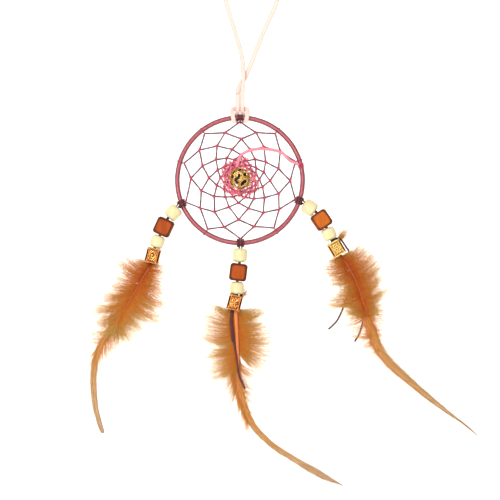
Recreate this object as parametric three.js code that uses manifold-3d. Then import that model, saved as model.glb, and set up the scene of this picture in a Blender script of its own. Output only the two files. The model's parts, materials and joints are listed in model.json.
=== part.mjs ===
// A small dream catcher: a thread-wrapped steel hoop holds a woven web with a pierced bead at its middle.
// A suede lace hangs it up, and three beaded cords hang from it, each with a down plume and a long feather.
//
// Millimetres, +Z up, +X to the right, and the front faces -Y. The origin is the flat underside of the
// lace loop, where the loop rests on a nail. The cords are splayed, as they lie on a table.

import * as THREE from 'three';
import { RoundedBoxGeometry } from 'three/addons/geometries/RoundedBoxGeometry.js';
import { mergeVertices } from 'three/addons/utils/BufferGeometryUtils.js';
import Module from 'manifold-3d';

const wasm = await Module();
wasm.setup();

// ---- driving dimensions --------------------------------------------------------------------------------

// Hoop: a steel ring inside a winding of thread
const HOOP_DIAMETER = 90;
const WRAP_RADIUS = 1.75;
const WRAP_BORE = 1.3;
const CORE_RADIUS = 0.95;
const WRAP_SEAM = 0.5; // the winding's two ends stop this far apart, under the web's top tie
const RING_RADIUS = HOOP_DIAMETER / 2 - WRAP_RADIUS;

// Web: one thread, tied to the hoop at ten places and looped inwards in rows of knots
const THREAD_RADIUS = 0.3;
const LOOSE_THREAD_RADIUS = 0.45;
const TIE_RADIUS = WRAP_RADIUS + 0.46;
const TIE_ANGLES = [90, 127, 163, 202, 236.5, 270.5, 305.5, 341, 378.5, 413];
const STEM_RADIUS = RING_RADIUS - 4.2; // where each tie's two threads part
const ROW_RADII = [34.4, 27.8, 21.4, 16.6, 13.4, 11.4, 9.9, 8.9];
const ROW_LAG = 2.5; // degrees that the middle rows are pulled round by

// Bead in the web
const CENTER_BEAD = { radius: 7.4, wall: 1.1, bore: 1.2, rise: 1.2, window: 1.5 };

// Lace: flat suede, hitched round the hoop and looped over the nail
const LACE_WIDTH = 3;
const LACE_THICKNESS = 1.4;
const LACE_HITCH_RADIUS = WRAP_RADIUS + 0.6 + LACE_THICKNESS / 2;
const LACE_BACK = 0.8; // the lace hangs this far behind the hoop's centre plane
const LACE_CROSSING = 0.95; // each leg moves this far from the other where they cross
const HANG_DROP = 172; // from the nail down to the hoop's centre
const LOOP_TOP_X = 6; // the loop's top, to the right of the hoop's centre
const SEAT_LENGTH = 3;

// Cord: waxed, doubled, hitched to the hoop. It is made in lengths that end inside the gaps between beads.
const CORD_RADIUS = 0.55;
const CORD_SPACING = 0.5; // from a leg's centre line to the strand's axis
const CORD_HITCH_RADIUS = WRAP_RADIUS + 0.2 + CORD_RADIUS;
const CORD_CUT = 0.8;
const CORD_START = 3.55; // from the ring's centre line

// Beads on a strand, and the gaps above them
const UPPER_BEAD = { half: 4.7, radius: 5.1 };
const LOWER_BEAD = { half: 4.3, radius: 4.85 };
const BEAD_BORE = 2.1;
const CUBE_SIDE = 12;
const CUBE_ROUNDING = 1.9;
const METAL_BEAD = { half: 5.2, width: 9.4, bore: 6.2, corner: 1.2, rim: 0.35, rimHeight: 1.3 };
const HALF_LENGTHS = [UPPER_BEAD.half, CUBE_SIDE / 2, LOWER_BEAD.half, METAL_BEAD.half];
const HITCH_TO_BEAD = 3.8;
const STOP_KNOT = { width: 1.6, depth: 0.8, height: 1.1, below: 1.7 };

// Inside a metal bead the cord and the two quills lie one behind another, this far apart
const LAYER = 1.8;

// Feathers
const QUILL_RADIUS = 0.45;
const QUILL_TOP = 3; // above the metal bead's centre
const DOWN_THICKNESS = 2.2;
const VANE_THICKNESS = 1;

// The strands. hoopAngle: where on the hoop. tilts: of the upper bead, cube, lower bead and metal bead, in
// degrees from straight down, positive to the right. gaps: above the cube, lower bead and metal bead.
// layers: front-to-back places inside the metal bead, with -1 at the front. Tails are [x, z] points and
// feathers are [x, z, half width] points, all from the metal bead's centre.
const STRANDS = [
  {
    name: 'left',
    hoopAngle: 202,
    tilts: [-44, -25, -22, -14],
    gaps: [1.4, 0.7, 0.6],
    layers: { tails: 1, down: -1, long: 0 },
    tails: [[[-4, -14], [-9, -26], [-15, -38]], [[-1, -14], [-4, -24], [-7, -33]]],
    down: [[-3, -10, 1.5], [-6, -15, 14], [-13, -28, 21], [-20, -42, 17], [-27, -60, 3]],
    long: [
      [-6, -17, 1], [-14, -30, 4.5], [-25, -45, 4.8], [-36, -59, 4.2], [-42, -78, 3.3], [-42, -97, 2.4],
      [-35, -122, 0.4],
    ],
  },
  {
    name: 'middle',
    hoopAngle: 270.5,
    tilts: [-3, -7, -2, -15],
    gaps: [1, 0.7, 0.6],
    layers: { tails: -1, down: 0, long: 1 },
    tails: [
      [[-2.5, -12], [-0.5, -26], [1.8, -42], [2.8, -53], [7, -59]],
      [[0.5, -12], [1.5, -22], [4, -33]],
    ],
    down: [[-0.5, -10, 1.5], [0.5, -15, 17], [1.5, -28, 24], [2, -42, 18], [2, -57, 4]],
    long: [
      [0, -16, 1], [1, -32, 3.6], [1, -51, 4.4], [5, -68, 4.2], [14, -87, 3.7], [28, -101, 3.2],
      [48, -113, 2.6], [75, -126, 0.4],
    ],
  },
  {
    name: 'right',
    hoopAngle: 341,
    tilts: [56, 34, 22, 31],
    gaps: [1.4, 0.7, 1.7],
    layers: { tails: 1, down: -1, long: 0 },
    tails: [[[6, -14], [9, -27], [4, -42], [-5, -56]], [[13, -14], [18, -32], [19, -48], [13, -64]]],
    outerLeg: true,
    down: [[5, -9.5, 1.5], [8, -15, 13], [14, -29, 19], [20, -45, 12], [25, -60, 3]],
    long: [
      [8, -16, 1], [14, -30, 4.5], [21, -47, 5.2], [31, -70, 4.8], [45, -85, 4.1], [70, -104, 2.8],
      [98, -129, 0.4],
    ],
  },
];

// Colours
const ROSE_THREAD = 0xc9606e;
const WEB_THREAD = 0xb5566b;
const SUEDE = 0xf6dccf;
const CORD_BROWN = 0x4a1418;
const CREAM_WOOD = 0xfbf0c8;
const BROWN_WOOD = 0xb8662b;
const COPPER = 0xd98a4e;
const GILT = 0xe0b060;
const STEEL = 0xb8b8bc;
const DOWN_BROWN = 0xc47a38;
const FEATHER_TAN = 0xdc9452;

// ---- points and directions -----------------------------------------------------------------------------

const { degToRad, radToDeg } = THREE.MathUtils;
const FRONT = new THREE.Vector3(0, -1, 0);
const vec = (x, y, z) => new THREE.Vector3(x, y, z);

/** A point in the hoop's plane, by distance and angle from the hoop's centre. */
function polar(radius, degrees) {
  return vec(radius * Math.cos(degToRad(degrees)), 0, radius * Math.sin(degToRad(degrees)));
}

/** The directions of a strand that leans by `tilt`: down along it, and across it to the right. */
const along = (tilt) => vec(Math.sin(degToRad(tilt)), 0, -Math.cos(degToRad(tilt)));
const across = (tilt) => vec(Math.cos(degToRad(tilt)), 0, Math.sin(degToRad(tilt)));

/** Turns [u, v, w], along the hoop, out from it and to the front, into place at an angle on the hoop. */
function onHoop(degrees) {
  const out = polar(1, degrees);
  const place = new THREE.Matrix4().makeBasis(out.clone().cross(FRONT), out, FRONT);
  return place.setPosition(polar(RING_RADIUS, degrees));
}

/** A point at an angle round the hoop's tube, from the outer side over the back: [u, v, w]. */
function roundTube(radius, degrees, u) {
  return vec(u, radius * Math.cos(degToRad(degrees)), -radius * Math.sin(degToRad(degrees)));
}

/** A smooth run of points through a few keys. */
function smooth(keys, perSpan) {
  return new THREE.CatmullRomCurve3(keys).getPoints(perSpan * (keys.length - 1));
}

/** The other half of a path that is symmetrical about u = 0, and of its widthwise directions. */
const mirrored = (keys) => keys.map((key) => vec(-key.x, key.y, key.z)).reverse();
const mirroredSides = (sides) => sides.map((side) => vec(side.x, -side.y, -side.z)).reverse();

// ---- solids --------------------------------------------------------------------------------------------

/** A path straight from point to point. `sides` holds the direction of the section's x axis at each point;
 * without it the section is carried along untwisted. */
class Route extends THREE.Curve {
  constructor(points, sides) {
    super();
    this.points = points;
    this.sides = sides;
  }

  getPoint(t, target = vec(0, 0, 0)) {
    const place = t * (this.points.length - 1);
    const i = Math.min(Math.floor(place), this.points.length - 2);
    return target.lerpVectors(this.points[i], this.points[i + 1], place - i);
  }

  getSpacedPoints() {
    return this.points;
  }

  computeFrenetFrames() {
    const tangents = tangentsOf(this.points);
    let side = Math.abs(tangents[0].y) < 0.9 ? vec(0, 1, 0) : vec(1, 0, 0);
    const normals = tangents.map((tangent, i) => {
      side = this.sides ? this.sides[i].clone() : side.clone();
      side.addScaledVector(tangent, -side.dot(tangent)).normalize();
      return side;
    });
    const binormals = tangents.map((tangent, i) => tangent.clone().cross(normals[i]));
    return { tangents, normals, binormals };
  }
}

function tangentsOf(points) {
  const steps = points.slice(1).map((point, i) => point.clone().sub(points[i]).normalize());
  return points.map((_, i) => {
    const before = steps[Math.max(i - 1, 0)];
    const after = steps[Math.min(i, steps.length - 1)];
    return before.clone().add(after).normalize();
  });
}

function circle(radius, sides) {
  const points = Array.from({ length: sides }, (_, i) => {
    const turn = (2 * Math.PI * (i + 0.5)) / sides;
    return new THREE.Vector2(radius * Math.cos(turn), radius * Math.sin(turn));
  });
  return new THREE.Shape(points);
}

/** The section of a doubled cord: two round legs side by side, touching. */
function doubleCircle() {
  const arc = [-150, -90, -30, 30, 90, 150].map((degrees) => {
    const turn = degToRad(degrees);
    return new THREE.Vector2(CORD_SPACING + CORD_RADIUS * Math.cos(turn), CORD_RADIUS * Math.sin(turn));
  });
  return new THREE.Shape([...arc, ...arc.map((point) => point.clone().negate())]);
}

function rectangle(width, height) {
  const [x, y] = [width / 2, height / 2];
  return new THREE.Shape([[-x, -y], [x, -y], [x, y], [-x, y]].map(([a, b]) => new THREE.Vector2(a, b)));
}

function roundedSquare(width, corner) {
  const shape = new THREE.Shape();
  const inset = width / 2 - corner;
  [0, 1, 2, 3].forEach((quarter) => {
    const turn = (quarter * Math.PI) / 2;
    const x = inset * (quarter === 0 || quarter === 3 ? 1 : -1);
    const y = inset * (quarter < 2 ? 1 : -1);
    shape.absarc(x, y, corner, turn, turn + Math.PI / 2, false);
  });
  return shape;
}

function sweep(section, points, sides) {
  const extrudePath = new Route(points, sides);
  return new THREE.ExtrudeGeometry(section, { steps: points.length - 1, extrudePath, curveSegments: 3 });
}

const tube = (radius, sides, points) => sweep(circle(radius, sides), points);

/** A solid for joining and cutting, from any closed geometry. */
function solid(geometry) {
  const bare = geometry.index ? geometry.toNonIndexed() : geometry.clone();
  const extras = Object.keys(bare.attributes).filter((name) => name !== 'position');
  extras.forEach((name) => bare.deleteAttribute(name));
  const merged = mergeVertices(bare, 1e-4);
  const vertProperties = new Float32Array(merged.attributes.position.array);
  const triVerts = new Uint32Array(merged.index.array);
  return new wasm.Manifold(new wasm.Mesh({ numProp: 3, vertProperties, triVerts }));
}

function geometryOf(body) {
  const { vertProperties, triVerts } = body.getMesh();
  const geometry = new THREE.BufferGeometry();
  geometry.setAttribute('position', new THREE.BufferAttribute(vertProperties, 3));
  geometry.setIndex(new THREE.BufferAttribute(triVerts, 1));
  return geometry;
}

const join = (geometries) => geometryOf(geometries.map(solid).reduce((all, next) => all.add(next)));

function cut(geometry, cutters) {
  return geometryOf(cutters.map(solid).reduce((rest, cutter) => rest.subtract(cutter), solid(geometry)));
}

/** A ring-shaped section, [radius, height] points closed on themselves, turned round +Z. */
function turned(profile, segments) {
  const closed = [...profile, profile[0]].map(([radius, height]) => new THREE.Vector2(radius, height));
  return new THREE.LatheGeometry(closed, segments).rotateX(Math.PI / 2);
}

/** Adds a named sub-part with a material of its own. */
function addPart(parent, name, geometry, [color, roughness, metalness = 0]) {
  const shaded = geometry.index ? geometry.toNonIndexed() : geometry;
  shaded.computeVertexNormals();
  const mesh = new THREE.Mesh(shaded, new THREE.MeshStandardMaterial({ color, roughness, metalness }));
  mesh.name = name;
  parent.add(mesh);
  return mesh;
}

// ---- hoop ----------------------------------------------------------------------------------------------

function hoopRing() {
  return new THREE.TorusGeometry(RING_RADIUS, CORE_RADIUS, 6, 48).rotateX(Math.PI / 2);
}

/** The winding: a hollow tube round the steel ring, open at its seam. */
function hoopWrap() {
  const steps = 54;
  const halfSeam = radToDeg(WRAP_SEAM / 2 / RING_RADIUS);
  const turn = (360 - 2 * halfSeam) / steps;
  const points = Array.from({ length: steps + 1 }, (_, i) => polar(RING_RADIUS, 90 + halfSeam + i * turn));
  const section = circle(WRAP_RADIUS, 10);
  section.holes.push(circle(WRAP_BORE, 8));
  return sweep(section, points);
}

// ---- web -----------------------------------------------------------------------------------------------

/** A small irregularity between -1 and 1, the same every time. */
const uneven = (seed) => (Math.sin(seed * 12.9898) + Math.sin(seed * 4.1414)) / 2;

/** Where row `row` is looped onto span `i` of the row outside it. Row 0 is the ties on the hoop. */
function knot(row, i) {
  const turns = 360 * Math.floor(i / TIE_ANGLES.length);
  const place = i % TIE_ANGLES.length;
  if (row === 0) return polar(STEM_RADIUS, TIE_ANGLES[place] + turns);
  const slack = 1 - row / ROW_RADII.length;
  const lag = ROW_LAG * Math.sin(Math.PI * slack);
  const radius = ROW_RADII[row - 1] + 1.1 * slack * uneven(7 * row + place);
  const angle = 90 + 36 * i + 18 * row - lag + 2 * slack * uneven(3 * row + 5 * place);
  return polar(radius, angle).add(vec(0, 0, CENTER_BEAD.rise * Math.min(1, row / 4)));
}

/** Part of a row's thread: it runs from knot to knot and dips to the next row's knots between them. */
function webRun(row, first, last) {
  const points = [];
  for (let i = first; i < last; i += 1) points.push(knot(row, i), knot(row + 1, i));
  return tube(THREAD_RADIUS, 4, [...points, knot(row, last)]);
}

/** A tie: one turn of thread round the hoop, and a stem that reaches in to the web. */
function tie(degrees) {
  const turn = new THREE.TorusGeometry(TIE_RADIUS, THREAD_RADIUS, 4, 12).rotateY(Math.PI / 2);
  const ends = [-TIE_RADIUS, STEM_RADIUS - RING_RADIUS - THREAD_RADIUS / 2];
  const stem = tube(THREAD_RADIUS, 4, ends.map((v) => vec(0, v, 0)));
  return [turn, stem].map((piece) => piece.applyMatrix4(onHoop(degrees)));
}

/** The thread's thick end, which wanders loose behind the web from the right side to the bead. */
function looseThread() {
  const keys = [[34.5, 13.7], [27.8, 19.4], [16.6, 21.6], [8.3, 20.8], [1.7, 18.1], [-0.7, 14.4], [-2, 11]];
  const behind = keys.map(([x, z]) => vec(x, 1, z));
  return tube(LOOSE_THREAD_RADIUS, 4, smooth([knot(0, 8), ...behind], 2));
}

function webThread() {
  const innermost = ROW_RADII.length;
  const ring = Array.from({ length: 11 }, (_, i) => knot(innermost, i));
  const pieces = [tube(THREAD_RADIUS, 4, ring.slice(0, 6)), tube(THREAD_RADIUS, 4, ring.slice(5))];
  for (let row = 0; row < innermost; row += 1) pieces.push(webRun(row, 0, 5), webRun(row, 5, 10));
  const throughBead = tube(THREAD_RADIUS, 4, [knot(innermost, 6), knot(innermost, 1)]);
  return join([...pieces, throughBead, looseThread(), ...TIE_ANGLES.flatMap(tie)]);
}

/** A hollow ball with a bore from pole to pole and rows of windows. */
function centerBead() {
  const { radius, wall, bore, window } = CENTER_BEAD;
  const shell = (r, steps) => {
    const first = Math.asin(bore / r);
    return Array.from({ length: steps + 1 }, (_, i) => {
      const turn = first + (i * (Math.PI - 2 * first)) / steps;
      return [r * Math.sin(turn), -r * Math.cos(turn)];
    });
  };
  const ball = turned([...shell(radius, 9), ...shell(radius - wall, 7).reverse()], 15);
  const windows = [-42, 0, 42].flatMap((latitude, row) =>
    [0, 1, 2, 3, 4].map((i) => {
      const hole = new THREE.CylinderGeometry(window, window, 4 * wall, 6);
      hole.translate(0, radius - wall / 2, 0).rotateX(degToRad(latitude) - Math.PI / 2);
      return hole.rotateZ(degToRad(72 * i + 36 * row));
    }));
  return cut(ball, windows).translate(0, 0, CENTER_BEAD.rise);
}

// ---- lace ----------------------------------------------------------------------------------------------

/** Half of the lace's hitch, from the leg behind the hoop round to the middle of the bar behind the legs.
 * Points and widthwise directions, as [u, v, w] at the top of the hoop. */
function laceHitchHalf() {
  const round = [[90, 2.05], [135, 2.7], [180, 3.4], [225, 4.2], [270, 4.8], [315, 5.1]];
  const points = [
    vec(1.6, 14, -LACE_BACK), vec(1.6, 8, -0.9), vec(1.62, 5, -1.1),
    vec(1.75, 3.4, -1.8), vec(1.95, 1.8, -2.75),
    ...round.map(([degrees, u]) => roundTube(LACE_HITCH_RADIUS, degrees, u)),
    vec(5.25, 3.8, 0.6), vec(5.05, 5.2, -0.9), vec(4.2, 6.15, -2.1), vec(2.5, 6.3, -2.9), vec(0, 6.3, -3),
  ];
  const flat = Array(12).fill(vec(1, 0, 0));
  return { points, sides: [...flat, vec(0.85, 0.5, 0), vec(0.4, 0.9, 0), vec(0, 1, 0), vec(0, 1, 0)] };
}

/** Flat stretches of lace turn their width to lie in the hoop's plane. */
function flatSides(points) {
  return tangentsOf(points).map((tangent) => FRONT.clone().cross(tangent).normalize());
}

function hangerLace() {
  const [front, back] = [LACE_BACK - LACE_CROSSING, LACE_BACK + LACE_CROSSING];
  const inPlane = (keys) => keys.map(([x, z]) => vec(x, LACE_BACK, z));
  const top = HANG_DROP + LACE_WIDTH / 2;
  const seat = inPlane([[LOOP_TOP_X + SEAT_LENGTH / 2, top], [LOOP_TOP_X - SEAT_LENGTH / 2, top]]);
  const tied = [-13.2, 144];
  const down = smooth([
    ...inPlane([[-21.5, 151], [-17, 148], tied, [-12.4, 134], [-9, 121], [-2.4, 99.2], [1, 87.1]]),
    vec(2.2, front, 76), vec(2.3, front, 68), vec(1.7, front + 0.1, 61.5),
  ], 2);
  const up = smooth([
    vec(-1.5, back - 0.3, 61.5), vec(0.5, back, 66.5), vec(3.9, back, 71.8), vec(6.8, back - 0.2, 78.7),
    ...inPlane([[11.3, 90], [15.9, 101.5], [20.5, 111.8], [24.5, 121], [27.6, 134], [27, 149]]),
    ...inPlane([[20.5, 163]]), seat[0],
  ], 2);
  const overKeys = inPlane([[-6, 168], [-12.2, 157], tied, [-17, 139.5], [-22.5, 137]]);
  const over = smooth([seat[1], ...overKeys], 2);
  const half = laceHitchHalf();
  const hitch = smooth([...half.points, ...mirrored(half.points).slice(1)], 2);
  const hitchSides = smooth([...half.sides, ...mirroredSides(half.sides).slice(1)], 2);
  hitch.forEach((point) => point.applyMatrix4(onHoop(90)));
  hitchSides.forEach((side) => side.transformDirection(onHoop(90)));
  const looped = [...up, seat[1]];
  const ending = [seat[0].clone().lerp(seat[1], 0.5), ...over];
  const section = rectangle(LACE_WIDTH, LACE_THICKNESS);
  const sides = [...flatSides(down), ...hitchSides, ...flatSides(looped)];
  const lace = sweep(section, [...down, ...hitch, ...looped], sides);
  const flatSeat = sweep(section, seat, flatSides(seat));
  const overhand = new THREE.TorusKnotGeometry(2.2, 0.9, 32, 5).scale(1, 1, 0.8).rotateX(Math.PI / 2);
  overhand.translate(tied[0], LACE_BACK, tied[1]);
  return join([lace, flatSeat, sweep(section, ending, flatSides(ending)), overhand]);
}

// ---- strands -------------------------------------------------------------------------------------------

/** Where a strand's four beads are: each one's centre, and the bend in the cord above it. */
function layOut({ hoopAngle, tilts, gaps }) {
  const beads = [];
  let bend = polar(RING_RADIUS, hoopAngle);
  let reach = HITCH_TO_BEAD;
  tilts.forEach((tilt, i) => {
    const center = bend.clone().addScaledVector(along(tilt), reach + HALF_LENGTHS[i]);
    beads.push({ center, tilt, bend });
    reach = (gaps[i] ?? 0) / 2;
    bend = center.clone().addScaledVector(along(tilt), HALF_LENGTHS[i] + reach);
  });
  return beads;
}

/** A point on a bead's axis, across it and behind it. */
function beadPoint({ center, tilt }, down, sideways = 0, behind = 0) {
  const point = center.clone().addScaledVector(along(tilt), down).addScaledVector(across(tilt), sideways);
  return point.add(vec(0, behind, 0));
}

/** The hitch: the doubled cord goes up behind the hoop, comes forward through the web and over the front in
 * two bands, and its bight passes behind the legs. */
function cordHitch({ hoopAngle }) {
  const round = [[90, 1.2], [135, 1.35], [180, 1.5], [225, 1.7], [270, 1.85], [315, 1.9], [360, 2]];
  const half = [
    vec(0.9, 2.75, -0.8), vec(0.92, 2.2, -1.15), vec(1, 1.55, -2),
    ...round.map(([degrees, u]) => roundTube(CORD_HITCH_RADIUS, degrees, u)),
    vec(2.1, 1.95, -1.6), vec(1.95, 1.95, -2.5), vec(1.2, 1.9, -3.2), vec(0, 1.85, -3.35),
  ];
  const points = smooth([...half, ...mirrored(half).slice(1)], 2);
  return tube(CORD_RADIUS, 5, points).applyMatrix4(onHoop(hoopAngle));
}

/** A length of doubled cord through one bead. */
function cordLength(points, tilt) {
  return sweep(doubleCircle(), points, points.map(() => across(tilt)));
}

function cordInBead(bead, half, gapAbove, gapBelow) {
  const top = CORD_CUT / 2 - gapAbove / 2 - half;
  const bottom = half + gapBelow / 2 - CORD_CUT / 2;
  return cordLength([beadPoint(bead, top), beadPoint(bead, bottom)], bead.tilt);
}

/** The first length starts behind the hoop's plane, where the hitch leaves it. */
function cordInUpperBead(bead, gapBelow) {
  const toBend = HITCH_TO_BEAD + UPPER_BEAD.half;
  const points = [
    beadPoint(bead, CORD_START - toBend, 0, 0.8), beadPoint(bead, 6 - toBend, 0, 0.3), beadPoint(bead, 0),
    beadPoint(bead, UPPER_BEAD.half + gapBelow / 2 - CORD_CUT / 2),
  ];
  return cordLength(points, bead.tilt);
}

/** The cord's last length: through the metal bead, a stop knot under it, and two loose tails. */
function cordTails({ tails, layers, gaps, outerLeg }, bead) {
  const { half } = METAL_BEAD;
  const layer = layers.tails * LAYER;
  const top = CORD_CUT / 2 - gaps[2] / 2 - half;
  const knotPlace = beadPoint(bead, half + STOP_KNOT.below, 0, layer);
  const inBore = [beadPoint(bead, top), beadPoint(bead, 2.2 - half, 0, layer), knotPlace];
  const stopKnot = new THREE.SphereGeometry(1, 8, 6).rotateX(Math.PI / 2);
  stopKnot.scale(STOP_KNOT.width, STOP_KNOT.depth, STOP_KNOT.height);
  stopKnot.rotateY(degToRad(-bead.tilt)).translate(knotPlace.x, knotPlace.y, knotPlace.z);
  const tailPoints = tails.map((keys) => keys.map(([x, z]) => bead.center.clone().add(vec(x, layer, z))));
  const legs = tailPoints.map((points) => [knotPlace, ...points]);
  if (outerLeg) legs[1] = [...outerLegPoints(bead, top, layer), ...tailPoints[1]];
  const loose = legs.map((leg) => tube(CORD_RADIUS, 5, smooth(leg, 2)));
  return join([cordLength(inBore, bead.tilt), stopKnot, ...loose]);
}

/** One leg of the right strand misses the bore and bulges round the outside of the metal bead. */
function outerLegPoints(bead, top, layer) {
  return [
    beadPoint(bead, top + 0.1), beadPoint(bead, top - 0.35, 2, 0.3), beadPoint(bead, top - 0.35, 4, 0.8),
    beadPoint(bead, -5.4, 5.9, layer), beadPoint(bead, -3, 7, layer), beadPoint(bead, 0.5, 7.6, layer),
    beadPoint(bead, 4, 7.2, layer),
  ];
}

/** A wooden barrel bead with softly rounded ends. */
function barrelBead({ half, radius }) {
  const shoulder = [[radius * 0.76, half - 0.35], [radius * 0.94, half - 1.5], [radius, 1]];
  const top = [[BEAD_BORE, half], [BEAD_BORE + 0.4, half], ...shoulder];
  const bottom = top.map(([r, z]) => [r, -z]).reverse();
  return turned([...top, ...bottom].reverse(), 14);
}

function cubeBead() {
  const bore = new THREE.CylinderGeometry(BEAD_BORE, BEAD_BORE, 1.5 * CUBE_SIDE, 12).rotateX(Math.PI / 2);
  return cut(new RoundedBoxGeometry(CUBE_SIDE, CUBE_SIDE, CUBE_SIDE, 2, CUBE_ROUNDING), [bore]);
}

/** A square metal tube with a raised rim at each end. */
function metalBead() {
  const { half, width, bore, corner, rim, rimHeight } = METAL_BEAD;
  const slab = (side, depth, z) => new THREE.ExtrudeGeometry(
    roundedSquare(side, corner), { depth, bevelEnabled: false, curveSegments: 3 },
  ).translate(0, 0, z);
  const rims = [-half, half - rimHeight].map((z) => slab(width + 2 * rim, rimHeight, z));
  const body = join([slab(width, 2 * half - rimHeight, rimHeight / 2 - half), ...rims]);
  return cut(body, [slab(bore, 3 * half, -1.5 * half)]);
}

/** A feather: a flat vane along its keys, and a quill that runs up into the metal bead's bore. */
function feather(keys, bead, layer, thickness) {
  const { center, tilt } = bead;
  const line = smooth(keys.map(([x, z, halfWidth]) => vec(x, halfWidth, z)), 3);
  const middle = line.map(({ x, z }) => vec(x, 0, z));
  const edge = (hand) => tangentsOf(middle).map((tangent, i) => {
    const out = tangent.clone().cross(FRONT).multiplyScalar(hand * line[i].y);
    return new THREE.Vector2(middle[i].x + out.x, middle[i].z + out.z);
  });
  const outline = new THREE.Shape([...edge(1), ...edge(-1).reverse()]);
  const vane = new THREE.ExtrudeGeometry(outline, { depth: thickness, bevelEnabled: false });
  vane.rotateX(Math.PI / 2).translate(center.x, layer * LAYER + thickness / 2, center.z);
  const root = [0, 3, 6].map((i) => center.clone().add(middle[i]));
  const quill = [-QUILL_TOP, 0, METAL_BEAD.half].map((down) => beadPoint({ center, tilt }, down));
  const stem = smooth([...quill, ...root], 2).map((point) => point.setY(layer * LAYER));
  return join([vane, tube(QUILL_RADIUS, 5, stem)]);
}

/** Adds a bead so that its own Z axis lies along the strand. */
function addBead(name, geometry, bead, finish) {
  const mesh = addPart(hoop, name, geometry, finish);
  mesh.position.copy(bead.center);
  mesh.rotation.y = degToRad(-bead.tilt);
}

function addStrand(strand) {
  const { name, gaps, layers } = strand;
  const [upper, cube, lower, metal] = layOut(strand);
  const cord = [CORD_BROWN, 0.45];
  addPart(hoop, `${name}_cord_hitch`, cordHitch(strand), cord);
  addPart(hoop, `${name}_cord_upper`, cordInUpperBead(upper, gaps[0]), cord);
  addPart(hoop, `${name}_cord_middle`, cordInBead(cube, CUBE_SIDE / 2, gaps[0], gaps[1]), cord);
  addPart(hoop, `${name}_cord_lower`, cordInBead(lower, LOWER_BEAD.half, gaps[1], gaps[2]), cord);
  addPart(hoop, `${name}_cord_tails`, cordTails(strand, metal), cord);
  addBead(`${name}_upper_bead`, barrelBead(UPPER_BEAD), upper, [CREAM_WOOD, 0.6]);
  addBead(`${name}_cube_bead`, cubeBead(), cube, [BROWN_WOOD, 0.5]);
  addBead(`${name}_lower_bead`, barrelBead(LOWER_BEAD), lower, [CREAM_WOOD, 0.6]);
  addBead(`${name}_metal_bead`, metalBead(), metal, [name === 'right' ? GILT : COPPER, 0.3, 1]);
  const down = feather(strand.down, metal, layers.down, DOWN_THICKNESS);
  const long = feather(strand.long, metal, layers.long, VANE_THICKNESS);
  addPart(hoop, `${name}_down_feather`, down, [DOWN_BROWN, 0.9]);
  addPart(hoop, `${name}_long_feather`, long, [FEATHER_TAN, 0.8]);
}

// ---- the whole object ----------------------------------------------------------------------------------

const hoop = new THREE.Group();
hoop.position.set(-LOOP_TOP_X, -LACE_BACK, -HANG_DROP);
addPart(hoop, 'hoop_ring', hoopRing(), [STEEL, 0.4, 1]);
addPart(hoop, 'hoop_wrap', hoopWrap(), [ROSE_THREAD, 0.35]);
addPart(hoop, 'web_thread', webThread(), [WEB_THREAD, 0.7]);
addPart(hoop, 'center_bead', centerBead(), [GILT, 0.3, 1]);
addPart(hoop, 'hanger_lace', hangerLace(), [SUEDE, 0.85]);
STRANDS.forEach(addStrand);

const dreamCatcher = new THREE.Group();
dreamCatcher.add(hoop);

export default dreamCatcher;
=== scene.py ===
"""A small dream catcher's looks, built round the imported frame: thread, cords, lace, beads and feathers.

Lengths are in millimetres until a mesh is made, and the front faces -Y.
"""
import json
import math

import bmesh
import bpy
import numpy as np
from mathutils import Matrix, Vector


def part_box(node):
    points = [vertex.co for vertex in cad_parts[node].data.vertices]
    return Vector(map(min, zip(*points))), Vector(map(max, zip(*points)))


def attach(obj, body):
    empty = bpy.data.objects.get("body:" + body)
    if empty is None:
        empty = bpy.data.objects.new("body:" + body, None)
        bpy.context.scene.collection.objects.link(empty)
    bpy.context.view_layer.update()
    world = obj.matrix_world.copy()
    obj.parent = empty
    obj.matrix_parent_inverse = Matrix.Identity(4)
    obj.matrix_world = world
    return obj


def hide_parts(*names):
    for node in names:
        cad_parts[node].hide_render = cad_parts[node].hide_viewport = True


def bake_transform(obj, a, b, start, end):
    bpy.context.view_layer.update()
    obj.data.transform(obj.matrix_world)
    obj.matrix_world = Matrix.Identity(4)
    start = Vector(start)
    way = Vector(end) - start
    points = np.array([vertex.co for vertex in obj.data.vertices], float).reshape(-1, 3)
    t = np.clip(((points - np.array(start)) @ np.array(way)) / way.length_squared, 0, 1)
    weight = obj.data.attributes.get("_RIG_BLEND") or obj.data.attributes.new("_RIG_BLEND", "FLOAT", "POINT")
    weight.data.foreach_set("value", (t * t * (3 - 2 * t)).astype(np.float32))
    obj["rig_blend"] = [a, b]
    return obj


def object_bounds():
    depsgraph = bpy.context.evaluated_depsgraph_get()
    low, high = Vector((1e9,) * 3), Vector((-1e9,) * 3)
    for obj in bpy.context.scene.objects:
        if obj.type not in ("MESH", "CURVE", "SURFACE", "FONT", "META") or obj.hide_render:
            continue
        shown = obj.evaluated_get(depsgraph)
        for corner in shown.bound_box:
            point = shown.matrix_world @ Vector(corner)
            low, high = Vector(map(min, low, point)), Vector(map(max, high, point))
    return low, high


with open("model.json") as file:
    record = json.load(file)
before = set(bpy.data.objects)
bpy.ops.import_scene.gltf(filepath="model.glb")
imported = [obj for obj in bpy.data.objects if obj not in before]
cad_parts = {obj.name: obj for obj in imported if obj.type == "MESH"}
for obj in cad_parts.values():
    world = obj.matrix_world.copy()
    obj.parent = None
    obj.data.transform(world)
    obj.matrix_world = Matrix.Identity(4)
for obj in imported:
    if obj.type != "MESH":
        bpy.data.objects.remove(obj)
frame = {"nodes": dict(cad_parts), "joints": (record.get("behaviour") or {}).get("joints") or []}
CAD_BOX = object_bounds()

MM = 0.001
RNG = np.random.default_rng(11)
FRONT = np.array([0.0, -1.0, 0.0])


# ---- places taken from the frame ----

def box_mm(node):
    low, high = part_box(node)
    return np.array(low) / MM, np.array(high) / MM


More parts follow.
